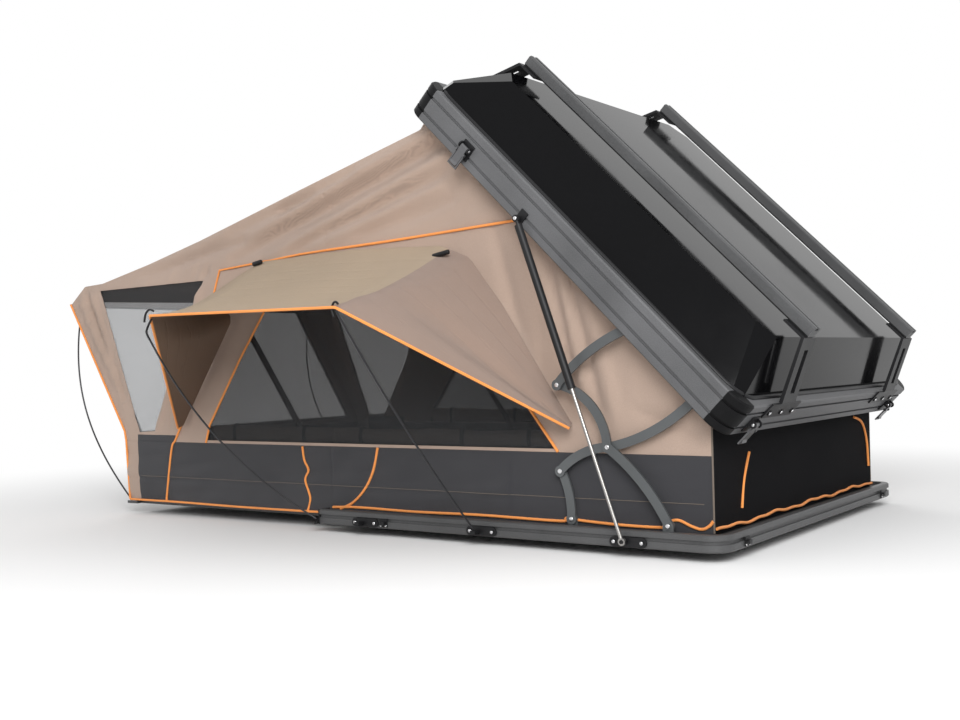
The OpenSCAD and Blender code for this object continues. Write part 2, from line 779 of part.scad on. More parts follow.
// Latch plate with two ears for the lever's pin
lever_x = 13;
lever_n = 46;
pin_r = 3;
module latch_plate() {
    translate([0, -latch_w / 2, rim_z + 14]) cube([4, latch_w, 48]);
    for (s = [-1, 1]) translate([0, s * 18 - 2, rim_z + lever_n]) rotate([90, 0, 0]) translate([0, 0, -4])
        linear_extrude(4) difference() {
            union() {
                translate([4, -9.5]) square([lever_x - 4, 19]);
                translate([lever_x, 0]) circle(9.5);
            }
            translate([lever_x, 0]) circle(pin_r + pin_gap);
        }
}

module latch_plates() {
    color(black) on_lid() at_latches() latch_plate();
}

// Lever on its pin, with trunnions for the loop
loop_n = 28;
loop_x = 17;
lever_w = 26;
module lever() {
    z = rim_z + lever_n;
    tip = z - lever_len;
    rotate([90, 0, 0]) {
        linear_extrude(lever_w, center = true) {
            translate([lever_x, z]) circle(6);
            polygon([[loop_x - lever_t / 2, z], [loop_x - lever_t / 2, tip], [loop_x + 2, tip - 8],
                [loop_x + 6, tip - 6], [loop_x + lever_t / 2, tip + 2], [loop_x + lever_t / 2, z]]);
        }
        translate([lever_x, z, -21]) cylinder(h = 42, r = pin_r);
        translate([loop_x, rim_z + loop_n, -19.5]) cylinder(h = 39, r = 1.5);
    }
}

// Wire loop that the lever pulls over the catch
module loop() {
    z = rim_z + loop_n;
    drop = 46;
    difference() {
        union() {
            for (s = [-1, 1]) translate([0, s * 16.5, 0]) {
                translate([loop_x, 0, z]) rotate([90, 0, 0]) translate([0, 0, -2]) cylinder(h = 4, r = 5);
                translate([loop_x - 2, -2, z - drop]) cube([4, 4, drop]);
            }
            translate([loop_x - 2, -18.5, z - drop]) cube([4, 37, 4]);
        }
        translate([loop_x, 0, z]) rotate([90, 0, 0]) translate([0, 0, -30]) cylinder(h = 60, r = 1.8);
    }
}

module latch_lever_end_near() {
    color(steel) on_lid() at_end_latch(false) lever();
}

module latch_lever_end_far() {
    color(steel) on_lid() at_end_latch(true) lever();
}

module latch_lever_side_near() {
    color(steel) on_lid() at_side_latch(false) lever();
}

module latch_lever_side_far() {
    color(steel) on_lid() at_side_latch(true) lever();
}

module latch_loop_end_near() {
    color(steel) on_lid() at_end_latch(false) loop();
}

module latch_loop_end_far() {
    color(steel) on_lid() at_end_latch(true) loop();
}

module latch_loop_side_near() {
    color(steel) on_lid() at_side_latch(false) loop();
}

module latch_loop_side_far() {
    color(steel) on_lid() at_side_latch(true) loop();
}

// Long S-curved arm from the base to the top link
module long_arm(far) {
    on_side(far) {
        slab(long_y, long_y + arm_t) difference() {
            union() {
                arc_bar(arm_a, arm_d, -16, arm_w);
                arc_bar(arm_d, arm_f, -38, arm_w);
                for (p = [arm_a, arm_d, arm_f]) eye(p);
            }
            bore(arm_a, arm_pin_r + pin_gap);
        }
        slab(cross_y, long_y) translate(arm_d) circle(arm_pin_r);
        slab(long_y + arm_t, long_y + arm_t + head_gap - seat) translate(arm_f) circle(9);
    }
}

module long_arm_near() {
    color(dark_alloy) long_arm(false);
}

module long_arm_far() {
    color(dark_alloy) long_arm(true);
}

// S-curved arm that crosses the long arm and meets the lid
module cross_arm(far) {
    on_side(far) slab(cross_y, cross_y + arm_t) difference() {
        union() {
            arc_bar(arm_c, arm_d, 16, arm_w);
            arc_bar(arm_d, arm_e, -24, arm_w);
            for (p = [arm_c, arm_d, arm_e]) eye(p);
        }
        bore(arm_d, arm_pin_r + pin_gap);
    }
}

module cross_arm_near() {
    color(dark_alloy) cross_arm(false);
}

module cross_arm_far() {
    color(dark_alloy) cross_arm(true);
}

module short_link(far) {
    on_side(far) slab(short_y, short_y + arm_t) difference() {
        union() {
            arc_bar(arm_b, arm_c, -9, arm_w);
            for (p = [arm_b, arm_c]) eye(p);
        }
        bore(arm_b, arm_pin_r + pin_gap);
    }
}

module short_link_near() {
    color(dark_alloy) short_link(false);
}

module short_link_far() {
    color(dark_alloy) short_link(true);
}

module top_link(far) {
    on_side(far) slab(top_y, top_y + arm_t) difference() {
        union() {
            arc_bar(arm_f, arm_g, 20, arm_w);
            for (p = [arm_f, arm_g]) eye(p);
        }
        bore(arm_g, arm_pin_r + pin_gap);
    }
}

module top_link_near() {
    color(dark_alloy) top_link(false);
}

module top_link_far() {
    color(dark_alloy) top_link(true);
}

// Frame of a gas strut: the rod's eye at the origin, the strut along +Z
module along_strut(far) {
    on_side(far) translate([strut_low[0], -strut_y, strut_low[1]]) rotate([0, strut_tilt, 0]) children();
}

module strut_eye(hole) {
    rotate([90, 0, 0]) translate([0, 0, -strut_eye_t / 2]) difference() {
        cylinder(h = strut_eye_t, r = 10);
        translate([0, 0, -1]) cylinder(h = strut_eye_t + 2, r = hole);
    }
}

piston_r = 8;
module strut_rod(far) {
    along_strut(far) {
        strut_eye(arm_pin_r + pin_gap);
        translate([0, 0, 9]) cylinder(h = strut_rod - 9, r = strut_rod_r);
        translate([0, 0, strut_rod - 12]) cylinder(h = 12, r = piston_r);
    }
}

module strut_rod_near() {
    color(steel) strut_rod(false);
}

module strut_rod_far() {
    color(steel) strut_rod(true);
}

gland = 16;
module strut_cylinder(far) {
    top = strut_open - 20;
    low = top - strut_cyl;
    along_strut(far) {
        difference() {
            translate([0, 0, low]) cylinder(h = strut_cyl, r = strut_r);
            translate([0, 0, low - 1]) cylinder(h = gland + 2, r = strut_rod_r + pin_gap);
            translate([0, 0, low + gland]) cylinder(h = strut_cyl - gland - 8, r = piston_r + 0.4);
        }
        translate([0, 0, top]) cylinder(h = 12, r = strut_rod_r);
        translate([0, 0, strut_open]) {
            strut_eye(arm_pin_r);
            // Pin that reaches in to the lid's stud
            translate([0, strut_eye_t / 2, 0]) rotate([90, 0, 0]) translate([0, 0, half_w + stud_h + 0.5 - strut_y + strut_eye_t / 2])
                cylinder(h = strut_y - half_w - stud_h - 0.5 + strut_eye_t / 2, r = arm_pin_r);
        }
    }
}

module strut_cylinder_near() {
    color(black) strut_cylinder(false);
}

module strut_cylinder_far() {
    color(black) strut_cylinder(true);
}

// Canvas outlines in X-Z on the wall plane, clockwise from the lid's upper end
split_x = -half_len;
lid_top = opened([-half_len + rim_t + 16, rim_z + 8]);
lid_low = opened([half_len - rim_t - 8, rim_z + 12]);
gusset_x = half_len - rail_w - 8;
// The roof runs from the lid's upper end to the panel's outer end; a share of the way and a dip
// under the straight line place the points between
ridge = lid_top - [33.2, 39.4];
roof_d = [panel_end - 150, floor_top + 777];
function roof_at(share, dip) = ridge + (roof_d - ridge) * share - [0, dip];
roof_a = roof_at(0.3275, 5.8);
roof_b = roof_at(0.643, 15);
roof_c = roof_at(0.819, 11.5);
apex = [panel_end - 251, floor_top + 772];
eave = [panel_end - 335, floor_top + 709];
knee = [panel_end - 40, floor_top + 236];
foot = [panel_end - 17, floor_top + 2];
roof_split = [split_x, ridge[1] + (roof_a[1] - ridge[1]) * (split_x - ridge[0]) / (roof_a[0] - ridge[0])];

// Main window, cut through both halves of a side wall: its left and right ends follow the panel and
// the tray, and the points of its sides are offsets from them
win_left = [panel_end + 414, band_top + 15];
win_right = [half_len - 532, band_top + 15];
win_left_side = [[376, 536], [321, 514], [271, 416], [0, 0]];
win_right_side = [[0, 0], [-76, 164], [-192, 364], [-270, 469], [-340, 514], [-440, 530]];
module window_outline() {
    polygon(concat([for (p = win_right_side) win_right + p], [for (p = win_left_side) win_left + p]));
}

// Corner window of the fold-out half, as offsets from the foot of the panel's outer end
corner_side = [[-160, 551], [395, 555], [350, 478], [125, 37], [40, 32], [-143, 504]];
module corner_window_outline() {
    polygon([for (p = corner_side) [panel_end, band_top] + p]);
}

// Far more than the tent's length and height, to cut one half of a wall off
beyond = 3000;
module base_half(gap) {
    translate([split_x + gap, 0]) square([beyond, beyond]);
}

module fold_half(gap) {
    translate([split_x - gap - beyond, 0]) square([beyond, beyond]);
}

module wall_outline() {
    polygon([[gusset_x, band_top], [gusset_x, lid_low[1]], lid_low, lid_top, ridge, roof_a, roof_b,
        roof_c, roof_d, apex, eave, knee, [knee[0] + 8, band_top]]);
}

// Strip of cloth that follows points in X-Z, with its thickness below or right of them
module strip(points, offset_by) {
    polygon(concat(points, [for (i = [len(points) - 1:-1:0]) points[i] + offset_by]));
}

cloth_gap = 0.4;
module canvas_base() {
    inner = wall_y - cloth_t;
    color(tan_cloth) {
        both_sides() slab(inner, wall_y) difference() {
            intersection() {
                wall_outline();
                base_half(cloth_gap);
            }
            window_outline();
        }
        across(inner) intersection() {
            strip([lid_top, ridge, roof_split], [0, -cloth_t]);
            base_half(cloth_gap);
        }
    }
}

// Opening of the end wall
door_half = wall_y - 76;
door_low = band_top + 30;
door_high = eave[1] - 34;
module canvas_fold() {
    inner = wall_y - cloth_t;
    color(tan_cloth) {
        both_sides() slab(inner, wall_y) difference() {
            intersection() {
                wall_outline();
                fold_half(cloth_gap);
            }
            window_outline();
            corner_window_outline();
        }
        across(inner) intersection() {
            strip([roof_split, roof_a, roof_b, roof_c, roof_d, apex], [0, -cloth_t]);
            fold_half(cloth_gap);
        }
        across(inner) strip([apex, eave], [cloth_t, -cloth_t]);
        difference() {
            across(inner) strip([eave, knee, [knee[0] + 8, band_top]], [cloth_t, 0]);
            translate([eave[0] - 60, -door_half, door_low])
                cube([knee[0] - eave[0] + 160, 2 * door_half, door_high - door_low]);
        }
    }
}

// Dark lower band round the tray and the panel
module band_base() {
    inner = wall_y - cloth_t;
    color(charcoal) {
        both_sides() slab(inner, wall_y) intersection() {
            translate([split_x, floor_top + seat]) square([gusset_x + cloth_t - split_x, band_top - floor_top - 2 * seat]);
            base_half(cloth_gap);
        }
        translate([gusset_x, -wall_y, floor_top + seat]) cube([cloth_t, 2 * wall_y, lid_low[1] - floor_top - 2 * seat]);
    }
}

module band_fold() {
    inner = wall_y - cloth_t;
    z0 = floor_top - 12;
    color(charcoal) {
        both_sides() slab(inner, wall_y) intersection() {
            polygon([[0, z0], [0, band_top - seat], [knee[0] + 8, band_top - seat], [foot[0], z0]]);
            fold_half(cloth_gap);
        }
        across(inner) strip([[knee[0] + 8, band_top - seat], [foot[0], z0]], [cloth_t, 0]);
    }
}

// Netting in the windows, set inside the canvas
net_t = 1.5;
net_y = wall_y - cloth_t - seat - net_t;
module mesh_base() {
    color(net) both_sides() slab(net_y, net_y + net_t) intersection() {
        window_outline();
        base_half(cloth_gap);
    }
}

net_lap = 12;
module mesh_fold() {
    color(net) {
        both_sides() slab(net_y, net_y + net_t) {
            intersection() {
                window_outline();
                fold_half(cloth_gap);
            }
            corner_window_outline();
        }
        // Net over the end wall's opening, lapping its edges on the inside
        intersection() {
            across(door_half + net_lap) strip([for (p = [eave, knee]) p + [cloth_t + seat, 0]], [net_t, 0]);
            translate([eave[0], -door_half - net_lap, door_low - net_lap])
                cube([beyond, 2 * (door_half + net_lap), door_high - door_low + 2 * net_lap]);
        }
    }
}

// Rolled window flap along the bottom of the window, inside the netting
roll_r = 13;
module flap_roll(x0, x1) {
    both_sides() translate([x0, -net_y + roll_r + seat, band_top + roll_r + 6]) rotate([0, 90, 0])
        cylinder(h = x1 - x0, r = roll_r);
}

module flap_roll_base() {
    color(charcoal) flap_roll(split_x + cloth_gap, win_right[0] - 20);
}

module flap_roll_fold() {
    color(charcoal) flap_roll(win_left[0] + 16, split_x - cloth_gap);
}

// Awning: a hood between the window's edge on the wall and a free edge held by rods
hood_x = [win_left[0], win_right[0]];
awning_left = [hood_x[0] + 304, -awning_y, band_top + 413];
awning_right = [hood_x[1] - 337, -awning_y, band_top + 403];
hood_steps = 32;
hood_rows = 8;
// Where the hood meets the wall: share of the way round, window end that x counts from, x, height
hood_wall_at = [[0, 0, -90, 54], [0.25, 0, 27, 508], [0.33, 0, 261, 600], [0.5, 1, -714, 610],
    [0.68, 1, -363, 594], [0.75, 1, -262, 554], [0.84, 1, -146, 406], [0.94, 1, -16, 203], [1, 1, 68, 78]];
hood_wall = [for (p = hood_wall_at) [p[0], hood_x[p[1]] + p[2], band_top + p[3]]];
// Its free edge, as [share of the way round, x, y, z]
hood_foot_y = wall_y + 34;
hood_edge = [[0, hood_x[0] - 90, -hood_foot_y, band_top + 44],
    [0.25, awning_left[0], awning_left[1], awning_left[2]],
    [0.72, awning_right[0], awning_right[1], awning_right[2]],
    [1, hood_x[1] + 78, -hood_foot_y, band_top + 68]];
function pick(table, i) = [for (row = table) [row[0], row[i]]];
function hood_point(u, v, lift) = let (
        w = [lookup(u, pick(hood_wall, 1)), -wall_y - seat, lookup(u, pick(hood_wall, 2))],
        e = [lookup(u, pick(hood_edge, 1)), lookup(u, pick(hood_edge, 2)), lookup(u, pick(hood_edge, 3))],
        drop = awning_sag * sin(180 * v) * sin(180 * u))
    w + (e - w) * v + [0, -0.5 * lift, 0.86 * lift - drop];
module awning() {
    t = cloth_t - 0.5;
    rows = [for (i = [0:hood_steps]) [for (j = [0:hood_rows]) [i / hood_steps, j / hood_rows]]];
    color(khaki) sheet([for (row = rows) [for (p = row) hood_point(p[0], p[1], t)]],
        [for (row = rows) [for (p = row) hood_point(p[0], p[1], 0)]]);
}

// Spring-steel rods that prop the awning's corners
module awning_rods() {
    tip = [0, 4, -9];
    color(steel) {
        bar_between([-half_len - cap_t / 2, -half_w - 12, channel_h + 17.8], awning_left + tip, rod_r);
        bar_between([rod_x, -half_w - plate_t - lug_deep + 7, plate_z + 5.3], awning_right + tip, rod_r);
    }
}

// Bowed spring rods from the panel's end up to the eave, one bend by a cubic curve
module eave_rods() {
    y = -lug_y;
    ctrl = [[eave[0] + 30, y, eave[1] - 57], [eave[0] - 31, y, eave[1] - 319], [knee[0] - 225, y, knee[1] - 46],
        [panel_end - lug_out + 8, y, panel_z0 - edge_lip + lug_h + rod_r - 0.4]];
    function bend(t) = pow(1 - t, 3) * ctrl[0] + 3 * pow(1 - t, 2) * t * ctrl[1]
        + 3 * (1 - t) * t * t * ctrl[2] + pow(t, 3) * ctrl[3];
    color(steel) both_sides() swept_rod([for (i = [0:20]) bend(i / 20)], rod_r);
}

mount_channels();
floor_board();
base_side_rails();
base_rail_end();
base_corners();
rail_caps();
strut_plates();
rod_plates();
latch_catches();
arm_feet();
base_hinge_cheeks();
base_mattress();
canvas_base();
band_base();
mesh_base();
flap_roll_base();
awning();
awning_rods();
panel_board();
panel_edge();
panel_hinge_cheeks();
panel_mattress();
canvas_fold();
band_fold();
mesh_fold();
flap_roll_fold();
eave_rods();
bow();
lid_rail_near();
lid_rail_far();
lid_rail_hinge_end();
lid_rail_fold_end();
lid_corners();
lid_skin();
headliner();
load_bars();
bar_brackets();
strut_studs();
lid_arm_bosses();
latch_plates();
long_arm_near();
long_arm_far();
cross_arm_near();
cross_arm_far();
short_link_near();
short_link_far();
top_link_near();
top_link_far();
strut_rod_near();
strut_rod_far();
strut_cylinder_near();
strut_cylinder_far();
latch_lever_end_near();
latch_lever_end_far();
latch_lever_side_near();
latch_lever_side_far();
latch_loop_end_near();
latch_loop_end_far();
latch_loop_side_near();
latch_loop_side_far();
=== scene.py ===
# %% [markdown]
# # A roof top tent, dressed around its CAD frame
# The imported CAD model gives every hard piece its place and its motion. This lesson loads it as a
# fixed frame, gives its metal and boards their finishes, and sews the cloth over it: a cabin of
# canvas, a dark lower band, netting, an awning on rods, and two mattresses.

# %% Load the frame
import math

import bmesh
import bpy
from mathutils import Matrix, Vector, noise


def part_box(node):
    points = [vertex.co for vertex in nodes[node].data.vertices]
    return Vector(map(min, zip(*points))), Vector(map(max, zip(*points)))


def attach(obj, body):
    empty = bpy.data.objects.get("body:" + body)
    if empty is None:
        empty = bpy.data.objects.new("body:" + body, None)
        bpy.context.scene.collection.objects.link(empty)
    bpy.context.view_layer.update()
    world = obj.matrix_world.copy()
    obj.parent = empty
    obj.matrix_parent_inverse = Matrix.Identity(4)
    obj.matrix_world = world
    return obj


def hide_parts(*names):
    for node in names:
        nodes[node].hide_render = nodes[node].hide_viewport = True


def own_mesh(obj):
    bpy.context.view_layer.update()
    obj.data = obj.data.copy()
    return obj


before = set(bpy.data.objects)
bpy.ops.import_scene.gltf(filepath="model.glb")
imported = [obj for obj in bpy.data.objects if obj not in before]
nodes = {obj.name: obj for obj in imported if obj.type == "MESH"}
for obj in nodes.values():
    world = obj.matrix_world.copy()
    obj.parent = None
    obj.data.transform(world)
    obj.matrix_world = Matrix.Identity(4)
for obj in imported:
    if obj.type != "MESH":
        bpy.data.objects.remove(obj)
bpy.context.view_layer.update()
scene = bpy.context.scene
MM = 0.001

# %% [markdown]
# ## Camera
# The camera stands where a perspective fit of the tray, the lid and the canvas put it: a little
# above the tray, off the low end of the lid. The fit also gave the lens and a slight roll.

# %% Camera at the photograph's angle
PHOTO_WIDTH, PHOTO_HEIGHT = 960, 720
FOCAL_PIXELS = 1188.9
OPTICAL_CENTRE = (478.2, 363.6)
yaw, pitch, roll = (math.radians(a) for a in (35.333, 0.068, -1.485))

back = Vector((math.sin(yaw) * math.cos(pitch), -math.cos(yaw) * math.cos(pitch), math.sin(pitch)))
level_right = (-back).cross(Vector((0, 0, 1))).normalized()
level_up = level_right.cross(-back)
frame_right = math.cos(roll) * level_right + math.sin(roll) * level_up
frame_up = math.cos(roll) * level_up - math.sin(roll) * level_right

lens = bpy.data.cameras.new("photo_camera")
lens.sensor_width = 36
lens.lens = FOCAL_PIXELS / PHOTO_WIDTH * lens.sensor_width
lens.shift_x = (PHOTO_WIDTH / 2 - OPTICAL_CENTRE[0]) / PHOTO_WIDTH
lens.shift_y = (OPTICAL_CENTRE[1] - PHOTO_HEIGHT / 2) / PHOTO_WIDTH
camera = bpy.data.objects.new("photo_camera", lens)
camera.matrix_world = Matrix((frame_right, frame_up, back)).transposed().to_4x4()
camera.location = Vector((1869.8, -3414.2, 513.1)) * MM
scene.collection.objects.link(camera)
scene.camera = camera
scene.view_settings.view_transform = "Standard"
print("lens", round(lens.lens, 1), "mm")

# %% [markdown]
# ## Floor and light
# A plain studio keeps attention on the tent. The world is white to the camera and to
# reflections and dimmer as a light, so colours stay near what is written. One wide lamp in front,
# to the right, models the cloth, and a weak one fills the far side. The floor is pale where
# the tent's shadow falls and turns to plain white further out, where it meets the background.

# %% Lamps and world
AS_LIGHT, AS_SEEN = 0.62, 1.0


def math_node(tree, operation, a, b=None):
    node = tree.nodes.new("ShaderNodeMath")
    node.operation = operation
    for socket, value in zip(node.inputs, (a, b)):
        if isinstance(value, (int, float)):
            socket.default_value = value
        elif value is not None:
            tree.links.new(value, socket)
    return node.outputs[0]


def area_lamp(name, place, target, size, power):
    data = bpy.data.lights.new(name, "AREA")
    data.shape = "RECTANGLE"
    data.size, data.size_y = size
    data.energy = power
    lamp = bpy.data.objects.new(name, data)
    lamp.location = place
    lamp.rotation_euler = (Vector(target) - Vector(place)).to_track_quat("-Z", "Y").to_euler()
    scene.collection.objects.link(lamp)


area_lamp("front_softbox", (2.8, -4.4, 2.9), (-0.2, 0, 0.6), (3.2, 2.6), 275)
area_lamp("fill_softbox", (-4.2, 3.0, 4.4), (-0.4, 0, 0.5), (3.0, 2.4), 45)

sky = bpy.data.worlds.new("studio")
sky.use_nodes = True
scene.world = sky
sky_nodes, sky_links = sky.node_tree.nodes, sky.node_tree.links
sky_nodes.clear()
rays = sky_nodes.new("ShaderNodeLightPath").outputs
seen_or_mirrored = math_node(sky.node_tree, "MAXIMUM", rays["Is Camera Ray"], rays["Is Glossy Ray"])
seen = math_node(sky.node_tree, "MAXIMUM", seen_or_mirrored, rays["Is Transmission Ray"])
strength = sky_nodes.new("ShaderNodeMapRange")
strength.inputs["To Min"].default_value = AS_LIGHT
strength.inputs["To Max"].default_value = AS_SEEN
backdrop = sky_nodes.new("ShaderNodeBackground")
sky_out = sky_nodes.new("ShaderNodeOutputWorld")
sky_links.new(seen, strength.inputs["Value"])
sky_links.new(strength.outputs[0], backdrop.inputs["Strength"])
backdrop.inputs["Color"].default_value = (1, 1, 1, 1)
sky_links.new(backdrop.outputs[0], sky_out.inputs["Surface"])
print(len(bpy.data.lights), "lamps")

# %% [markdown]
# ## Finishes
# Effects that several finishes share are node groups: a woven thread pattern, a fine powder grain
# and a slow change of tone. Each finish places them with its own scale and depth and feeds them
# to the shader's colour, roughness and bump. All read Object coordinates, in metres.

# %% Shared effects as node groups
def new_group(name, inputs, outputs):
    group = bpy.data.node_groups.new(name, "ShaderNodeTree")
    for label, value in inputs:
        socket = group.interface.new_socket(name=label, in_out="INPUT", socket_type="NodeSocketFloat")
        socket.default_value = value
    for label in outputs:
        group.interface.new_socket(name=label, in_out="OUTPUT", socket_type="NodeSocketFloat")
    return group, group.nodes.new("NodeGroupInput"), group.nodes.new("NodeGroupOutput")


def vector_node(tree, operation, a, b=None):
    node = tree.nodes.new("ShaderNodeVectorMath")
    node.operation = operation
    tree.links.new(a, node.inputs[0])
    if b:
        node.inputs[1].default_value = b
    return node.outputs


def object_place(tree):
    return tree.nodes.new("ShaderNodeTexCoord").outputs["Object"]


def noise_node(tree, scale, detail):
    node = tree.nodes.new("ShaderNodeTexNoise")
    node.inputs["Detail"].default_value = detail
    if isinstance(scale, (int, float)):
        node.inputs["Scale"].default_value = scale
    else:
        tree.links.new(scale, node.inputs["Scale"])
    tree.links.new(object_place(tree), node.inputs["Vector"])
    return node.outputs["Fac"]


weave, given, made = new_group("thread_weave", [("Threads per metre", 900.0)], ["Height", "Tone"])
place = object_place(weave)
turn = math_node(weave, "MULTIPLY", given.outputs[0], math.pi)
threads = []
for direction in ((1.0, -0.9, 0.3), (-0.3, 0.9, 1.0)):
    along = vector_node(weave, "DOT_PRODUCT", place, direction)["Value"]
    threads.append(math_node(weave, "SINE", math_node(weave, "MULTIPLY", along, turn)))
weave.links.new(math_node(weave, "MULTIPLY", *threads), made.inputs["Height"])
weave.links.new(noise_node(weave, 420.0, 2.0), made.inputs["Tone"])

grain, given, made = new_group("powder_grain", [("Scale", 900.0)], ["Value"])
grain.links.new(noise_node(grain, given.outputs[0], 3.0), made.inputs["Value"])

drift, given, made = new_group("slow_tone", [("Scale", 5.0)], ["Value"])
drift.links.new(noise_node(drift, given.outputs[0], 5.0), made.inputs["Value"])

# %% Recipes for metal, board and cloth
def start_material(name, roughness):
    material = bpy.data.materials.new(name)
    material.use_nodes = True
    shader = material.node_tree.nodes["Principled BSDF"]
    shader.inputs["Roughness"].default_value = roughness
    return material, material.node_tree, shader


def place_group(tree, group, value):
    node = tree.nodes.new("ShaderNodeGroup")
    node.node_tree = group
    node.inputs[0].default_value = value
    return node


def remap(tree, value, low, high):
    node = tree.nodes.new("ShaderNodeMapRange")
    node.inputs["From Min"].default_value = 0.3
    node.inputs["From Max"].default_value = 0.7
    node.inputs["To Min"].default_value = low
    node.inputs["To Max"].default_value = high
    tree.links.new(value, node.inputs["Value"])
    return node.outputs[0]


def two_tones(tree, share, dark, light):
    node = tree.nodes.new("ShaderNodeMix")
    node.data_type = "RGBA"
    tree.links.new(share, node.inputs["Factor"])
    node.inputs["A"].default_value = (*dark, 1)
    node.inputs["B"].default_value = (*light, 1)
    return node.outputs["Result"]


def add_bump(tree, shader, height, depth):
    bump = tree.nodes.new("ShaderNodeBump")
    bump.inputs["Strength"].default_value = 1.0
    bump.inputs["Distance"].default_value = depth
    tree.links.new(height, bump.inputs["Height"])
    tree.links.new(bump.outputs["Normal"], shader.inputs["Normal"])


def shade(colour, factor):
    return tuple(min(1.0, c * factor) for c in colour)


def tint(tree, shader, colour, spread, fine, slow):
    mixed = math_node(tree, "MULTIPLY", math_node(tree, "ADD", fine, slow), 0.5)
    share = remap(tree, mixed, 0.0, 1.0)
    tones = two_tones(tree, share, shade(colour, 1 - spread), shade(colour, 1 + spread))
    tree.links.new(tones, shader.inputs["Base Color"])


def hard_finish(name, colour, roughness, metallic=0.0, grain_scale=900.0, grain_depth=0.00005, spread=0.18,
        specular=0.5):
    material, tree, shader = start_material(name, roughness)
    shader.inputs["Specular IOR Level"].default_value = specular
    shader.inputs["Metallic"].default_value = metallic
    fine = place_group(tree, grain, grain_scale).outputs["Value"]
    slow = place_group(tree, drift, 4.0).outputs["Value"]
    tint(tree, shader, colour, spread, fine, slow)
    tree.links.new(remap(tree, slow, roughness - 0.05, roughness + 0.07), shader.inputs["Roughness"])
    add_bump(tree, shader, fine, grain_depth)
    return material


def cloth_finish(name, colour, threads=900.0, depth=0.0004, sheen=0.15, spread=0.10, specular=0.25):
    material, tree, shader = start_material(name, 0.85)
    shader.inputs["Sheen Weight"].default_value = sheen
    shader.inputs["Specular IOR Level"].default_value = specular
    woven = place_group(tree, weave, threads)
    slow = place_group(tree, drift, 3.0).outputs["Value"]
    tint(tree, shader, colour, spread, woven.outputs["Tone"], slow)
    tree.links.new(remap(tree, slow, 0.8, 0.92), shader.inputs["Roughness"])
    add_bump(tree, shader, woven.outputs["Height"], depth)
    return material


def net_finish(name, colour, alpha):
    material = cloth_finish(name, colour, threads=420.0, depth=0.0003, sheen=0.0)
    material.node_tree.nodes["Principled BSDF"].inputs["Alpha"].default_value = alpha
    return material


def floor_finish(name, colour, middle, shadow_radius, white_radius):
    material, tree, shader = start_material(name, 0.8)
    shader.inputs["Specular IOR Level"].default_value = 0.0
    shader.inputs["Emission Strength"].default_value = 1.0
    centred = vector_node(tree, "SUBTRACT", object_place(tree), middle)["Vector"]
    away = vector_node(tree, "LENGTH", centred)["Value"]
    fade = tree.nodes.new("ShaderNodeMapRange")
    fade.interpolation_type = "SMOOTHSTEP"
    fade.inputs["From Min"].default_value = shadow_radius
    fade.inputs["From Max"].default_value = white_radius
    tree.links.new(away, fade.inputs["Value"])
    black, white = (0, 0, 0), (1, 1, 1)
    tree.links.new(two_tones(tree, fade.outputs[0], colour, black), shader.inputs["Base Color"])
    tree.links.new(two_tones(tree, fade.outputs[0], black, white), shader.inputs["Emission Color"])
    return material


frame_grey = hard_finish("powder_coated_frame", (0.098, 0.099, 0.103), 0.5, 0.2, 420, 0.00015, 0.45)
bar_grey = hard_finish("powder_coated_bar", (0.072, 0.073, 0.075), 0.48, 0.2, 420, 0.00015, 0.4)
rail_black = hard_finish("powder_coated_rail", (0.068, 0.0685, 0.07), 0.44, 0.2, 420, 0.0001, 0.4)
# The lid's corners are the frame's grey painted near black: painted shade from the hinge end
corner_painted_shade = hard_finish("moulded_corner_painted_shade", (0.005, 0.005, 0.0055), 0.5, 0.0, 300, 0.0002, 0.3, 0.12)
arm_grey = hard_finish("satin_arm", (0.088, 0.094, 0.097), 0.42, 0.3, 900, 0.00004)
fitting_black = hard_finish("black_fitting", (0.010, 0.010, 0.011), 0.42, 0.0, 900, 0.00004, 0.2, 0.25)
lid_black = hard_finish("glossy_lid", (0.003, 0.003, 0.0035), 0.08, 0.0, 60, 0.00001, 0.1, 0.1)
bright_steel = hard_finish("bright_steel", (0.66, 0.66, 0.67), 0.22, 1.0, 1200, 0.00002, 0.08)
strut_steel = hard_finish("strut_rod_steel", (0.36, 0.35, 0.335), 0.3, 1.0, 1200, 0.00002, 0.12)
lever_steel = hard_finish("dark_lever_steel", (0.13, 0.13, 0.135), 0.28, 0.8, 700, 0.00005, 0.3)
dark_rod = hard_finish("dark_spring_steel", (0.05, 0.05, 0.053), 0.32, 0.8, 900, 0.00002)
board_black = hard_finish("laminated_board", (0.018, 0.018, 0.019), 0.6, 0.0, 300, 0.0001, 0.2)
canvas_tan = cloth_finish("canvas_tan", (0.45, 0.335, 0.27))
awning_khaki = cloth_finish("awning_khaki", (0.42, 0.32, 0.22))
# The awning's cheeks are the canvas painted darker, as painted shade
cheek_painted_shade = cloth_finish("awning_cheek_painted_shade", (0.315, 0.225, 0.18))
# The lining's dark brown is painted shade on the hood's underside
lining_painted_shade = cloth_finish("shaded_lining", (0.20, 0.115, 0.065))
band_charcoal = cloth_finish("band_charcoal", (0.038, 0.038, 0.043), spread=0.16)
# The gusset is the band's charcoal cloth painted near black, as painted shade
gusset_painted_shade = cloth_finish("gusset_painted_shade", (0.009, 0.009, 0.010), sheen=0.0, spread=0.16, specular=0.05)
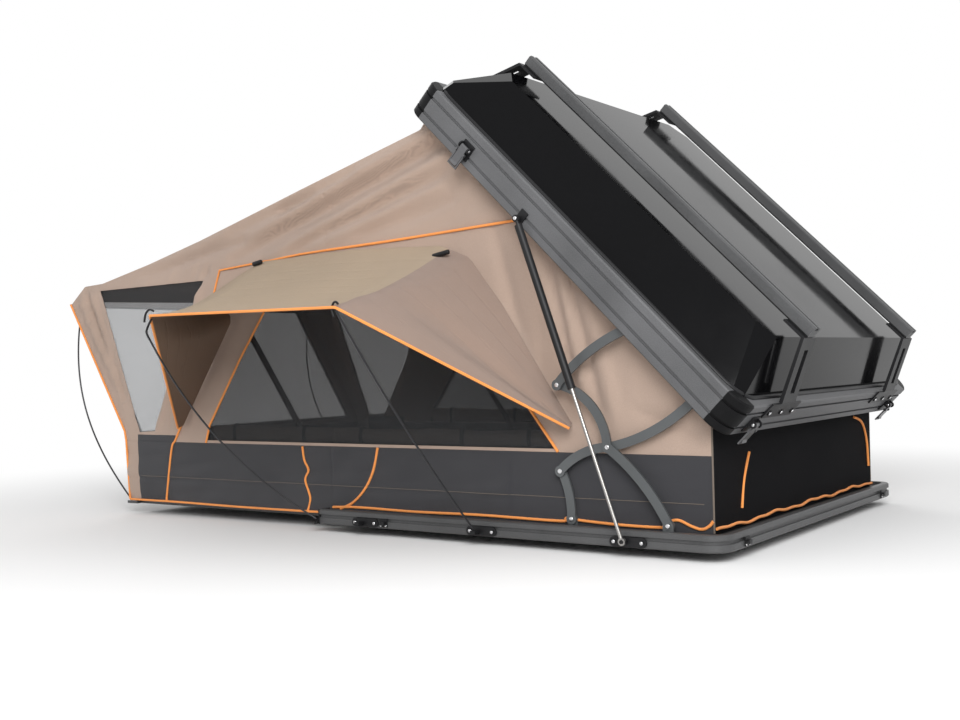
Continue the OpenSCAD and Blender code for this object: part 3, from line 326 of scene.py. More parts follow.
# The rolled flap is the canvas colour painted lighter, as painted light, so it shows in the shade behind the
# net
flap_painted_light = cloth_finish("rolled_flap_painted_light", (0.52, 0.41, 0.335), threads=500, spread=0.3)
piping_orange = cloth_finish("orange_piping", (0.91, 0.33, 0.085), threads=600, sheen=0.1)
stitch_thread = cloth_finish("stitch_thread", (0.16, 0.13, 0.105), threads=1400, depth=0.0002)
net_dark = net_finish("dark_netting", (0.035, 0.036, 0.038), 0.62)
net_pale = net_finish("pale_netting", (0.40, 0.41, 0.42), 0.30)
mattress_knit = cloth_finish("mattress_knit", (0.16, 0.16, 0.17), threads=350, depth=0.0006)
liner_felt = cloth_finish("quilted_liner", (0.21, 0.205, 0.2), threads=500, depth=0.0004)
webbing_black = cloth_finish("black_webbing", (0.012, 0.012, 0.013), threads=500, depth=0.0004)
floor_pale = floor_finish("studio_floor", (0.93, 0.93, 0.93), (-0.45, 0, 0), 1.7, 3.4)
print(len(bpy.data.materials), "finishes")

# %% Finishes on the CAD pieces
CAD_FINISHES = {
    frame_grey: ["lid_rail_near", "lid_rail_far", "lid_rail_hinge_end", "lid_rail_fold_end"],
    # painted shade on the lid's corners
    corner_painted_shade: ["lid_corners"],
    rail_black: ["base_side_rails", "base_rail_end", "base_corners", "mount_channels", "panel_edge"],
    arm_grey: ["arm_feet", "base_hinge_cheeks", "panel_hinge_cheeks", "lid_arm_bosses"]
        + [f"{arm}_{side}" for arm in ("long_arm", "cross_arm", "short_link", "top_link")
            for side in ("near", "far")],
    fitting_black: ["rail_caps", "strut_plates", "rod_plates", "latch_catches", "bow",
        "bar_brackets", "strut_studs", "latch_plates", "strut_cylinder_near", "strut_cylinder_far"],
    lid_black: ["lid_skin"],
    strut_steel: ["strut_rod_near", "strut_rod_far"],
    dark_rod: ["awning_rods", "eave_rods"],
    bar_grey: ["load_bars"],
    lever_steel: [f"latch_{part}_{spot}_{side}" for part in ("lever", "loop") for spot in ("end", "side")
        for side in ("near", "far")],
    board_black: ["floor_board", "panel_board"],
}
for finish, names in CAD_FINISHES.items():
    for name in names:
        nodes[name].data.materials.clear()
        nodes[name].data.materials.append(finish)
print(sum(len(names) for names in CAD_FINISHES.values()), "CAD pieces finished")

# %% [markdown]
# ## Sewing helpers
# Each cloth piece starts as a grid. An outline cuts it with bisecting planes, and what lies on the
# wrong side goes. Small moves of the points then give tension folds, and Solidify the thickness.
# Welts of piping are tubes along smooth paths. The studio's floor is the first piece made this way.

# %% Helpers for cloth
WALL = 634.5 * MM
SPLIT = -672.0 * MM
CLOTH = 2.0 * MM
NEAR, FAR = -1, 1
SIDES = ((NEAR, "near"), (FAR, "far"))


def points_mm(*pairs):
    return [Vector((x, 0, z)) * MM for x, z in pairs]


def inside(outline, p):
    hit = False
    for a, b in zip(outline, outline[1:] + outline[:1]):
        if (a.z > p.z) != (b.z > p.z) and p.x < a.x + (b.x - a.x) * (p.z - a.z) / (b.z - a.z):
            hit = not hit
    return hit


def wall_grid(low_x, high_x, low_z, high_z, step):
    bm = bmesh.new()
    wide, high = high_x - low_x, high_z - low_z
    middle = Vector(((low_x + high_x) / 2, 0, (low_z + high_z) / 2))
    turn_up = Matrix.Rotation(math.pi / 2, 4, "X")
    size = Matrix.Diagonal((wide, high, 1, 1))
    bmesh.ops.create_grid(bm, x_segments=max(2, round(wide / step)), y_segments=max(2, round(high / step)),
        size=0.5, matrix=Matrix.Translation(middle) @ turn_up @ size)
    return bm


def unit_grid(columns, rows):
    bm = bmesh.new()
    bmesh.ops.create_grid(bm, x_segments=columns, y_segments=rows, size=0.5)
    return bm


def cut(bm, outline, keep_inside, reach):
    for a, b in zip(outline, outline[1:] + outline[:1]):
        along = b - a
        if along.length < 1e-6:
            continue
        low = Vector((min(a.x, b.x) - reach, 0, min(a.z, b.z) - reach))
        high = Vector((max(a.x, b.x) + reach, 0, max(a.z, b.z) + reach))
        near = []
        for face in bm.faces:
            c = face.calc_center_median()
            if low.x <= c.x <= high.x and low.z <= c.z <= high.z:
                near.append(face)
        geometry = set(near)
        for face in near:
            geometry.update(face.edges)
            geometry.update(face.verts)
        normal = Vector((-along.z, 0, along.x)).normalized()
        bmesh.ops.bisect_plane(bm, geom=list(geometry), dist=1e-5, plane_co=a, plane_no=normal)
    wrong = [f for f in bm.faces if inside(outline, f.calc_center_median()) != keep_inside]
    bmesh.ops.delete(bm, geom=wrong, context="FACES")


def cut_at(bm, point, normal):
    bmesh.ops.bisect_plane(bm, geom=bm.verts[:] + bm.edges[:] + bm.faces[:], dist=1e-6,
        plane_co=point, plane_no=normal, clear_outer=True)


def off_line(p, a, b):
    way = b - a
    t = max(0.0, min(1.0, (p - a).dot(way) / way.length_squared))
    return t, (p - (a + way * t)).length


FOLD_SCALE = 2.3


def fold_depth(p, folds):
    depth = 0.0
    for (ax, az, bx, bz), width, height in folds:
        t, gap = off_line(p, *points_mm((ax, az), (bx, bz)))
        fade = math.sin(math.pi * min(1.0, 0.15 + 0.85 * t)) ** 0.5 if t < 1 else 0.0
        depth += FOLD_SCALE * height * MM * fade * math.exp(-((gap / (width * MM)) ** 1.5))
    return depth


def slack(p, scale, height):
    return noise.noise(p * scale) * height * MM


def piece(name, bm, finish):
    mesh = bpy.data.meshes.new(name)
    bm.to_mesh(mesh)
    bm.free()
    mesh.polygons.foreach_set("use_smooth", [True] * len(mesh.polygons))
    obj = bpy.data.objects.new(name, mesh)
    scene.collection.objects.link(obj)
    mesh.materials.append(finish)
    return obj


def cloth_piece(name, bm, finish, thickness=CLOTH):
    obj = piece(name, bm, finish)
    wall = obj.modifiers.new("cloth thickness", "SOLIDIFY")
    wall.thickness = thickness
    wall.offset = 0
    flat_edges = obj.modifiers.new("flat at the edges", "WEIGHTED_NORMAL")
    flat_edges.weight = 100
    return obj


def face_out(bm, side):
    if side == FAR:
        bmesh.ops.reverse_faces(bm, faces=bm.faces[:])


def round_edges(bm, edges, offset, segments=3):
    bmesh.ops.bevel(bm, geom=edges, offset=offset, segments=segments, profile=0.5, affect="EDGES",
        material=-1)


def fold_away(obj, body):
    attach(obj, body)
    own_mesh(obj)


def on_near(side, node):
    return [node] if side == NEAR else []


def sewn(obj, body, replaced):
    fold_away(obj, body)
    if replaced:
        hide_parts(*replaced)


def smooth_path(points, steps=6):
    path = []
    count = len(points)
    for i in range(count - 1):
        a, b = points[max(i - 1, 0)], points[i]
        c, d = points[i + 1], points[min(i + 2, count - 1)]
        for k in range(steps):
            t = k / steps
            path.append(0.5 * (2 * b + (c - a) * t + (2 * a - 5 * b + 4 * c - d) * t * t
                + (3 * b - a - 3 * c + d) * t ** 3))
    path.append(points[-1])
    return path


def add_tube(bm, points, radius):
    line = bpy.data.curves.new("welt", "CURVE")
    line.dimensions = "3D"
    line.bevel_depth = radius
    line.bevel_resolution = 2
    line.use_fill_caps = True
    spline = line.splines.new("POLY")
    spline.points.add(len(points) - 1)
    for spot, p in zip(spline.points, points):
        spot.co = (*p, 1)
    holder = bpy.data.objects.new("welt", line)
    mesh = bpy.data.meshes.new_from_object(holder)
    bm.from_mesh(mesh)
    bpy.data.objects.remove(holder)
    bpy.data.meshes.remove(mesh)
    bpy.data.curves.remove(line)


# How a piece flattens as it folds away: along which axis, towards which point, and the share kept
EAVE_CUT = -1850 * MM
DOWN_ON_BASE = ((0, 0, 1), (0, 0, 69 * MM), 0.002)
DOWN_ON_PANEL = ((0, 0, 1), (0, 0, 66 * MM), 0.033)

# %% Floor
FLOOR_HALF = 40
under_channels = Matrix.Translation((0, 0, -2 * MM))
floor_mesh = bmesh.new()
bmesh.ops.create_grid(floor_mesh, x_segments=2, y_segments=2, size=FLOOR_HALF, matrix=under_channels)
piece("floor", floor_mesh, floor_pale)

# %% [markdown]
# ## Canvas cabin
# The real cabin hangs from the lid's frame and stretches to the panel's outer end. It is cut at the
# fold, because each half folds away with what carries it. The overhanging eave is cut off as well and
# rides on the panel. Walls and roof follow the CAD outline, with long folds that run from the lid's
# corner, where the canvas pulls hardest.

# %% Outlines of the cabin
LID_TOP, LID_LOW = (-254.8, 1243.4), (650.3, 344.0)
GUSSET_X, BAND_TOP = 614.0, 261.0
ROOF = [(-288, 1204), (-780, 1078), (-1254, 953), (-1518, 892), (-1790, 837), (-1891, 832), (-1975, 769)]
KNEE, WALL_FOOT = (-1680, 296), (-1672, 261)
wall_outline = points_mm((GUSSET_X, BAND_TOP), (GUSSET_X, LID_LOW[1]), LID_LOW, LID_TOP, *ROOF, KNEE,
    WALL_FOOT)
window = points_mm((-1246, 270), (155, 270), (47, 413), (-20, 560), (-52, 640), (-130, 745), (-200, 790),
    (-300, 806), (-850, 812), (-905, 790), (-955, 694), (-1074, 541), (-1228, 322))
corner_window = points_mm((-1800, 812), (-1245, 816), (-1290, 739), (-1515, 298), (-1600, 293), (-1783, 765))
# Folds in the walls: where each one runs (x, z to x, z), its half width and its height, all in mm
CORNER_PULLS = [((-215, 1160, -1120, 872), 26, -15), ((-235, 1196, -1010, 945), 19, 11),
    ((-205, 1112, -950, 866), 20, 10), ((-215, 1062, -860, 880), 17, -8), ((-220, 1028, -760, 884), 16, 7),
    ((-180, 985, -560, 900), 18, -5), ((-560, 1108, -1250, 928), 15, -8), ((-900, 1014, -1530, 878), 17, 11),
    ((-1050, 938, -1600, 850), 14, -9), ((-740, 1052, -1400, 902), 15, -9), ((-1130, 968, -1720, 858), 13, 8),
    ((-1240, 938, -1780, 848), 11, -7)]
POST_PULLS = [((-1925, 800, -1700, 440), 13, 8), ((-1890, 815, -1672, 400), 11, -8),
    ((-1850, 800, -1650, 320), 12, 7), ((-1800, 720, -1640, 300), 9, -5), ((-1262, 812, -1300, 640), 12, 6),
    ((-1225, 850, -1285, 775), 10, -6), ((-1380, 560, -1500, 300), 13, 6), ((-1330, 640, -1440, 300), 11, -6)]
ARM_PULLS = [((125, 835, 222, 400), 15, -9), ((170, 800, 262, 380), 15, 7), ((205, 720, 300, 350), 14, -8),
    ((260, 690, 345, 330), 18, 4), ((405, 372, 600, 300), 20, -5), ((-30, 880, 60, 520), 24, -5)]
PULLS = CORNER_PULLS + POST_PULLS + ARM_PULLS
STEP = 12 * MM


def streaks(p, way_x, way_z, across, along, height):
    lengthwise = p.x * way_x + p.z * way_z
    sideways = p.z * way_x - p.x * way_z
    return noise.noise(Vector((lengthwise * along, 5, sideways * across))) * height * MM


def ramp(value, start, end):
    return max(0.0, min(1.0, (value - start) / (end - start)))


def creases(p):
    x, z = p.x / MM, p.z / MM
    left = ramp(x, -1150, -1290)
    post = left * (streaks(p, 0.45, 0.89, 34, 5, 4.5) + streaks(p, 0.3, 0.95, 70, 9, 1.8))
    top = ramp(z, 850, 900) * (streaks(p, 0.95, 0.3, 30, 2.2, 3.8) + streaks(p, 0.97, 0.22, 60, 5, 1.2))
    arm = ramp(x, -60, 90) * streaks(p, -0.2, 0.98, 24, 3, 3.0)
    return post + top * (1 - left) + arm


def grown(outline, margin):
    middle = sum(outline, Vector()) / len(outline)
    return [p + (p - middle).normalized() * margin for p in outline]


def seam_distance(p):
    return min(off_line(p, a, b)[1] for a, b in zip(wall_outline, wall_outline[1:] + wall_outline[:1]))


window_lap, corner_lap = grown(window, 20 * MM), grown(corner_window, 26 * MM)
# The dark band stands a little higher between the end post and its first zip
PATCH_LEFT, PATCH_RIGHT, PATCH_TOP = -1607.0, -1402.0, 285.0
# Beside the arms the wall keeps to a narrow range. Over a net it hardly leans in, and at its own seams
# it doesn't lean at all
BY_ARMS, ARM_IN, ARM_OUT, ARM_SHIFT = 100 * MM, -12 * MM, 4 * MM, 2 * MM
NET_ROOM, SEAM_FADE = -1 * MM, 40 * MM


def part_wall(name, side, low_x, high_x):
    bm = wall_grid(low_x, high_x, BAND_TOP * MM, LID_TOP[1] * MM, STEP)
    cut(bm, wall_outline, True, STEP)
    cut(bm, window, False, STEP)
    cut(bm, corner_window, False, STEP)
    for face in bm.faces:
        c = face.calc_center_median() / MM
        face.material_index = int(PATCH_LEFT < c.x < PATCH_RIGHT and c.z < PATCH_TOP)
    for v in bm.verts:
        lean = fold_depth(v.co, PULLS) + creases(v.co) + slack(v.co, 9, 2.0) + slack(v.co, 24, 0.8)
        if v.co.x > BY_ARMS:
            lean = max(ARM_IN, min(ARM_OUT, lean - ARM_SHIFT))
        if inside(window_lap, v.co) or inside(corner_lap, v.co):
            lean = max(lean, NET_ROOM)
        lean *= ramp(seam_distance(v.co), 0.0, SEAM_FADE)
        v.co.y = side * (WALL + lean)
    face_out(bm, side)
    wall = cloth_piece(name, bm, canvas_tan)
    wall.data.materials.append(band_charcoal)
    return wall


for side, word in SIDES:
    wall = part_wall(f"canvas_wall_{word}", side, SPLIT, LID_LOW[0] * MM)
    sewn(wall, "base", on_near(side, "canvas_base"))
    wall = part_wall(f"canvas_outer_wall_{word}", side, EAVE_CUT, SPLIT)
    sewn(wall, "panel", on_near(side, "canvas_fold"))
    wall = part_wall(f"canvas_eave_{word}", side, ROOF[-1][0] * MM, EAVE_CUT)
    sewn(wall, "panel", [])

# %% Roof and end wall
def profile_point(points, s):
    for a, b in zip(points, points[1:]):
        span = (b - a).length
        if s <= span:
            return a + (b - a) * (s / span)
        s -= span
    return points[-1]


ROOF_STEP, ROOF_ROWS, ROOF_SAG = 16 * MM, 64, 5


def roof_sheet(corners):
    line = points_mm(*corners)
    length = sum((b - a).length for a, b in zip(line, line[1:]))
    half = WALL - CLOTH
    bm = unit_grid(round(length / ROOF_STEP), ROOF_ROWS)
    for v in bm.verts:
        s, t = (v.co.x + 0.5) * length, v.co.y * 2
        p = profile_point(line, s)
        v.co = Vector((p.x, t * half, p.z))
    bmesh.ops.smooth_vert(bm, verts=[v for v in bm.verts if not v.is_boundary], factor=0.5,
        use_axis_x=True, use_axis_y=False, use_axis_z=True)
    for v in bm.verts:
        belly = (1 - (v.co.y / half) ** 2) * ROOF_SAG * MM
        v.co.z -= belly * (0.6 + 0.4 * math.cos(v.co.x * 9))
        v.co.z += slack(v.co, 7, 3) * (1 - abs(v.co.y / half))
    bmesh.ops.recalc_face_normals(bm, faces=bm.faces[:])
    return bm


def roof_height(x):
    (x0, z0), (x1, z1) = ROOF[:2]
    return z0 + (z1 - z0) * (x0 - x) / (x0 - x1)


split_x = SPLIT / MM
split_top = (split_x, roof_height(split_x))
base_roof_mesh = roof_sheet([LID_TOP, ROOF[0], split_top])
base_roof = cloth_piece("canvas_roof", base_roof_mesh, canvas_tan)

fold_roof_mesh = roof_sheet([split_top, *ROOF[1:], KNEE, WALL_FOOT])
DOOR_HALF, DOOR_LOW, DOOR_HIGH = 560 * MM, 291 * MM, 759 * MM
for place, normal in (((0, DOOR_HALF, 0), (0, 1, 0)), ((0, -DOOR_HALF, 0), (0, 1, 0)),
        ((0, 0, DOOR_LOW), (0, 0, 1)), ((0, 0, DOOR_HIGH), (0, 0, 1))):
    bmesh.ops.bisect_plane(fold_roof_mesh, geom=fold_roof_mesh.verts[:] + fold_roof_mesh.edges[:]
        + fold_roof_mesh.faces[:], dist=1e-6, plane_co=place, plane_no=normal)
doorway = []
for face in fold_roof_mesh.faces:
    c = face.calc_center_median()
    if abs(c.y) < DOOR_HALF and DOOR_LOW < c.z < DOOR_HIGH:
        doorway.append(face)
bmesh.ops.delete(fold_roof_mesh, geom=doorway, context="FACES")
eave_mesh = fold_roof_mesh.copy()
cut_at(fold_roof_mesh, (EAVE_CUT, 0, 0), (-1, 0, 0))
cut_at(eave_mesh, (EAVE_CUT, 0, 0), (1, 0, 0))
fold_roof = cloth_piece("canvas_outer_roof", fold_roof_mesh, canvas_tan)
eave = cloth_piece("canvas_eave", eave_mesh, canvas_tan)
sewn(base_roof, "base", [])
sewn(fold_roof, "panel", [])
sewn(eave, "panel", [])

# %% [markdown]
# ## Netting and rolled flaps
# Fine netting fills the windows, set just inside the canvas: dark in the big window, pale in the
# corner and the end wall. Along the eave, the top of the corner window has the dark netting as painted
# shade for the shaded roof behind it. It is too fine to model thread by thread at this size, so one
# thin sheet lets part of the light through. Below the big window lies its flap, rolled up, which is a
# tube with a wandering, wrinkled surface.

# %% Netting
NET, NET_STEP, NET_THICK = 630.5 * MM, 60 * MM, 0.6 * MM


def net_panel(name, outline, side, finish, low_x, high_x):
    xs, zs = [p.x for p in outline], [p.z for p in outline]
    bm = wall_grid(max(low_x, min(xs)), min(high_x, max(xs)), min(zs), max(zs), NET_STEP)
    cut(bm, outline, True, NET_STEP)
    for v in bm.verts:
        v.co.y = side * (NET + slack(v.co, 6, 1.2))
    face_out(bm, side)
    return cloth_piece(name, bm, finish, NET_THICK)


pale_window = points_mm((-1797, 770), (-1276, 742), (-1278, 735), (-1512, 287), (-1603, 282))
# Top strip of the corner window, where the dark netting is painted shade for the shaded roof inside
painted_shade_strip = points_mm((-1814, 824), (-1228, 828), (-1276, 742), (-1797, 770))
NET_LAP = 12 * MM
window_net, corner_net = grown(window, NET_LAP), grown(corner_window, NET_LAP)
OPEN_SIDE = 10.0
for side, word in SIDES:
    net = net_panel(f"window_net_{word}", window_net, side, net_dark, SPLIT, OPEN_SIDE)
    sewn(net, "base", on_near(side, "mesh_base"))
    net = net_panel(f"outer_window_net_{word}", window_net, side, net_dark, -OPEN_SIDE, SPLIT)
    sewn(net, "panel", on_near(side, "mesh_fold"))
    pale_outline = pale_window if side == NEAR else corner_net
    net = net_panel(f"corner_net_{word}", pale_outline, side, net_pale, -OPEN_SIDE, OPEN_SIDE)
    sewn(net, "panel", [])
# The dark netting along the eave is painted shade
net = net_panel("eave_net_near", painted_shade_strip, NEAR, net_dark, -OPEN_SIDE, OPEN_SIDE)
sewn(net, "panel", [])

END_NET_HALF, END_NET_IN = 572.0, 3.3
END_NET_LOW, END_NET_CUT, END_NET_HIGH = 279.0, 568.6, 763.0
eave_corner, knee_corner = Vector(ROOF[-1]), Vector(KNEE)
slope = (eave_corner - knee_corner).normalized()


def end_net(name, low, high):
    bm = unit_grid(24, 8)
    for v in bm.verts:
        z = low + (high - low) * (v.co.y + 0.5)
        x = knee_corner.x + (z - knee_corner.y) * slope.x / slope.y
        v.co = Vector((x + END_NET_IN * slope.y, v.co.x * 2 * END_NET_HALF, z - END_NET_IN * slope.x)) * MM
    bmesh.ops.recalc_face_normals(bm, faces=bm.faces[:])
    net = cloth_piece(name, bm, net_pale, NET_THICK)
    sewn(net, "panel", [])


end_net("end_net", END_NET_LOW, END_NET_CUT)
end_net("end_net_top", END_NET_CUT, END_NET_HIGH)

# %% Rolled flaps
ROLL_WIDE, ROLL_TALL, ROLL_Y, ROLL_Z, ROLL_KEEP = 15 * MM, 26 * MM, 611 * MM, 294 * MM, 0.1
ROLLS = (("flap_roll", "base", -671, 120, DOWN_ON_BASE),
    ("outer_flap_roll", "panel", -1225, -673, DOWN_ON_PANEL))
ROLL_SIDES, ROLL_RINGS = 28, 90
ROLL_NODE = {"base": "flap_roll_base", "panel": "flap_roll_fold"}


def roll_fatness(x):
    return 1 + 0.2 * ramp(x, -0.7, -1.2)


def roll_wander(x):
    return slack(Vector((x, 0, 0)), 5, 5)


def flap_roll(name, side, x0, x1):
    bm = bmesh.new()
    turn_along = Matrix.Rotation(math.pi / 2, 4, "Y")
    bmesh.ops.create_cone(bm, cap_ends=True, segments=ROLL_SIDES, radius1=1, radius2=1, depth=x1 - x0,
        matrix=turn_along)
    long_edges = [e for e in bm.edges if abs(e.verts[0].co.x - e.verts[1].co.x) > 0.1]
    bmesh.ops.subdivide_edges(bm, edges=long_edges, cuts=ROLL_RINGS)
    for v in bm.verts:
        v.co.x += (x0 + x1) / 2
        tall = ROLL_TALL * roll_fatness(v.co.x)
        around = Vector((0, v.co.y * ROLL_WIDE, v.co.z * tall))
        wrinkle = slack(Vector((v.co.x * 1.2, v.co.y * 0.5, v.co.z * 0.5)), 12, 4) + slack(
            Vector((v.co.x * 2, v.co.y * 0.6, v.co.z * 0.6)), 22, 2)
        v.co = Vector((v.co.x, 0, 0)) + around + around.normalized() * (wrinkle - 3 * MM)
        v.co.z += ROLL_Z + roll_wander(v.co.x)
        v.co.y += side * ROLL_Y
    return piece(name, bm, flap_painted_light)


for side, word in SIDES:
    for name, body, x0, x1, flatten in ROLLS:
        roll = flap_roll(f"{name}_{word}", side, x0 * MM, x1 * MM)
        fold_away(roll, body)
        if side == NEAR:
            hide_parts(ROLL_NODE[body])
        print(roll.name, len(roll.data.polygons), "faces")

# %% [markdown]
# ## Lower band
# A dark, heavier cloth runs round the foot of the cabin and tucks onto the tray. It is slack, so
# it waves along its length, and it has a stitched seam two thirds of the way down.

# %% Band
# Beside the arms, right of x = 0, the band waves less
SEAM_Z, BAND_EDGE, BESIDE_FITTINGS = 130.0, 30 * MM, 0.4


def band_lean(p):
    room = 1.0 if p.x < 0.0 else BESIDE_FITTINGS
    wave = noise.noise(Vector((p.x * 4.0, 0, p.z * 9.0))) * 6
    wave += noise.noise(Vector((p.x * 11, 3, p.z * 16))) * 3
    wave += noise.noise(Vector((p.x * 7 + p.z * 5, 8, p.z * 30 - p.x * 3))) * 3.5
    seam = -3.0 * math.exp(-(((p.z / MM - SEAM_Z) / 7) ** 2))
    swell = 3.0 * math.sin(math.pi * max(0, min(1, (BAND_TOP - p.z / MM) / 200)))
    edge = min(1.0, (BAND_TOP * MM - p.z) / BAND_EDGE)
    return (wave + seam + swell) * room * edge * MM


CORNER_POST = 62.0


def band_side(name, side, x0, x1, z0, end_slope):
    bm = wall_grid(x0 * MM, x1 * MM, z0 * MM, (BAND_TOP - 0.4) * MM, 10 * MM)
    if end_slope:
        for face in bm.faces:
            face.material_index = int(face.calc_center_median().x < (x0 + CORNER_POST) * MM)
    for v in bm.verts:
        if end_slope:
            share = (v.co.z / MM - z0) / (BAND_TOP - z0)
            v.co.x += (x1 * MM - v.co.x) / ((x1 - x0) * MM) * (WALL_FOOT[0] - x0) * share * MM
        v.co.y = side * (WALL + band_lean(v.co))
    face_out(bm, side)
    band = cloth_piece(name, bm, band_charcoal)
    band.data.materials.append(canvas_tan)
    return band


for side, word in SIDES:
    band = band_side(f"band_{word}", side, split_x, GUSSET_X, 61, False)
    sewn(band, "base", on_near(side, "band_base"))
    band = band_side(f"outer_band_{word}", side, -1657, split_x, 49, True)
    sewn(band, "panel", on_near(side, "band_fold"))


def end_sheet(name, low, high, half, finish, lean):
    bm = unit_grid(100, 20)
    for v in bm.verts:
        share, t = v.co.y + 0.5, v.co.x * 2
        x = low[0] + (high[0] - low[0]) * share
        z = low[1] + (high[1] - low[1]) * share
        v.co = Vector((x, t * half / MM, z)) * MM
        edge = math.sin(math.pi * share) * (1 - t ** 4)
        ripple = noise.noise(Vector((v.co.y * 4, 1, v.co.z * 9))) * 5
        v.co.x += lean * (ripple + 3) * edge * MM
    bmesh.ops.recalc_face_normals(bm, faces=bm.faces[:])
    return cloth_piece(name, bm, finish)


# The gusset's near black is painted shade
gusset = end_sheet("end_gusset", (615.5, 62), (615.5, 343), WALL, gusset_painted_shade, 0.8)
sewn(gusset, "base", [])
end_top = (WALL_FOOT[0] + 1.5, BAND_TOP)
outer_end = end_sheet("outer_band_end", (-1655.5, 49), end_top, WALL - CLOTH, band_charcoal, -0.8)
sewn(outer_end, "panel", [])

# %% [markdown]
# ## Awning
# The awning is one hood of cloth: a top, and a cheek at each side that runs down to the wall. Rods
# push its two front corners out. It is ruled between the seam on the wall and the free edge, sags
# between them, and has fine folds that fan out from the corners. The lining is painted darker, as
# painted shade on the hood's underside.

# %% Awning
LEFT_TIP, RIGHT_TIP = Vector((-922, -1130, 674)), Vector((-197, -1130, 664))
HOOD_WALL = [(0, -1362, 321), (0.2, -1105, 678), (0.25, -1190, 772), (0.33, -965, 861), (0.5, -574, 871),
    (0.68, -223, 855), (0.75, -122, 815), (0.84, -6, 667), (0.94, 124, 464), (1, 208, 339)]
HOOD_EDGE = [(0, -1360, -664, 311), (0.25, *LEFT_TIP), (0.72, *RIGHT_TIP), (1, 218, -670, 329)]
WALL_SEAM_Y = -637.5
CREASE_IN = Vector((-9, 5, -12))
HOOD_SAG, FAN_FOLDS, FAN_HEIGHT, FAN_REACH, FAN_START = 26, 9, 4, 260, 60


def look_up(table, u):
    for a, b in zip(table, table[1:]):
        if u <= b[0]:
            t = (u - a[0]) / (b[0] - a[0])
            return [p + (q - p) * t for p, q in zip(a[1:], b[1:])]
    return list(table[-1][1:])


def hood(u, v):
    x, z = look_up(HOOD_WALL, u)
    seam = Vector((x, WALL_SEAM_Y, z))
    edge = Vector(look_up(HOOD_EDGE, u))
    p = seam + (edge - seam) * v
    p.z -= HOOD_SAG * math.sin(math.pi * v) * math.sin(math.pi * u)
    crease = math.exp(-((v - 0.6) / 0.12) ** 2) * math.sin(math.pi * ramp(u, 0.71, 1.0))
    p += CREASE_IN * crease
    for tip in (LEFT_TIP, RIGHT_TIP):
        way = p - tip
        fan = math.atan2(way.z, way.x) * FAN_FOLDS
        reach = math.exp(-way.length / FAN_REACH) * min(1, way.length / FAN_START)
        p.z += FAN_HEIGHT * math.sin(fan) * reach * (1 - v ** 6)
    return p * MM


def hood_panel(u0, u1, columns):
    bm = unit_grid(columns, 26)
    for v in bm.verts:
        v.co = hood(u0 + (u1 - u0) * (v.co.x + 0.5), v.co.y + 0.5)
    return bm


# Each part: where it starts and ends along the hood, its columns, and its finish, 1 for the cheeks in painted
# shade and 0 for the top
hood_parts = [(0.0, 0.25, 22, 1), (0.25, 0.7, 40, 0), (0.7, 1.0, 26, 1)]
awning_mesh = bmesh.new()
for u0, u1, columns, finish_index in hood_parts:
    part = hood_panel(u0, u1, columns)
    for face in part.faces:
        face.material_index = finish_index
    carrier = bpy.data.meshes.new("hood_part")
    part.to_mesh(carrier)
    part.free()
    awning_mesh.from_mesh(carrier)
    bpy.data.meshes.remove(carrier)
bmesh.ops.remove_doubles(awning_mesh, verts=awning_mesh.verts[:], dist=1e-5)
bmesh.ops.recalc_face_normals(awning_mesh, faces=awning_mesh.faces[:])
top_face = max(awning_mesh.faces, key=lambda f: f.calc_center_median().z)
if top_face.normal.z < 0:
    bmesh.ops.reverse_faces(awning_mesh, faces=awning_mesh.faces[:])
print("hood", len(awning_mesh.faces), "faces")

# %% [markdown]
# ## How the awning is cut
# Flattening works along one direction only, and the hood reaches out and up at once. So it is cut at
# the fold, and then into strips that fan out from a line inside the tray. Each strip rides on the half
# that carries it.

# %% Strips of the awning
TUCK = {"base": Vector((0, -562, 78)) * MM, "panel": Vector((0, -590, 75)) * MM}
STRIPS, STRIP_LOW, STRIP_HIGH, TUCK_KEEP = 9, 44.0, 88.0, 0.02


def strip_edge(k):
    return math.radians(STRIP_LOW + (STRIP_HIGH - STRIP_LOW) * k / STRIPS)


def strip_of(p, body):
    angle = math.degrees(math.atan2(p.z - TUCK[body].z, TUCK[body].y - p.y))
    return int((angle - STRIP_LOW) / (STRIP_HIGH - STRIP_LOW) * STRIPS)


def side_of_split(p):
    return "base" if p.x > SPLIT else "panel"


stands_for = ["awning"]
for body, outward in (("base", -1), ("panel", 1)):
    for k in range(STRIPS):
        strip = awning_mesh.copy()
        low, high = strip_edge(k), strip_edge(k + 1)
        cut_at(strip, (SPLIT, 0, 0), (outward, 0, 0))
        cut_at(strip, TUCK[body], (0, -math.sin(low), -math.cos(low)))
        cut_at(strip, TUCK[body], (0, math.sin(high), math.cos(high)))
        awning = cloth_piece(f"awning_{body}_{k}", strip, awning_khaki)
        for finish in (cheek_painted_shade, lining_painted_shade, lining_painted_shade):
            awning.data.materials.append(finish)
        awning.modifiers["cloth thickness"].material_offset = 2
        sewn(awning, body, stands_for)
        stands_for = []
awning_mesh.free()

# %% [markdown]
# ## Piping, zips and hems
# The main edges, zips and hems carry orange piping. Each welt is a thin tube that follows its line
# on the cloth's outer face. All welts that fold away together are one piece.

# %% Piping
def on_wall(side, out, *pairs):
    return [Vector((x * MM, side * (WALL + out * MM), z * MM)) for x, z in pairs]


WELT, BASE_WELT, HOOD_WELT, STITCH, BINDING = 3.8 * MM, 4.2 * MM, 4.0 * MM, 0.9 * MM, 2.6 * MM
ROD, HOOK_ROD = 3.0 * MM, 3.2 * MM


def welts(name, paths, radius, body, finish=piping_orange):
    bm = bmesh.new()
    for path in paths:
        add_tube(bm, path, radius)
    welt = piece(name, bm, finish)
    fold_away(welt, body)
    print(name, len(paths), "welts")
    return welt


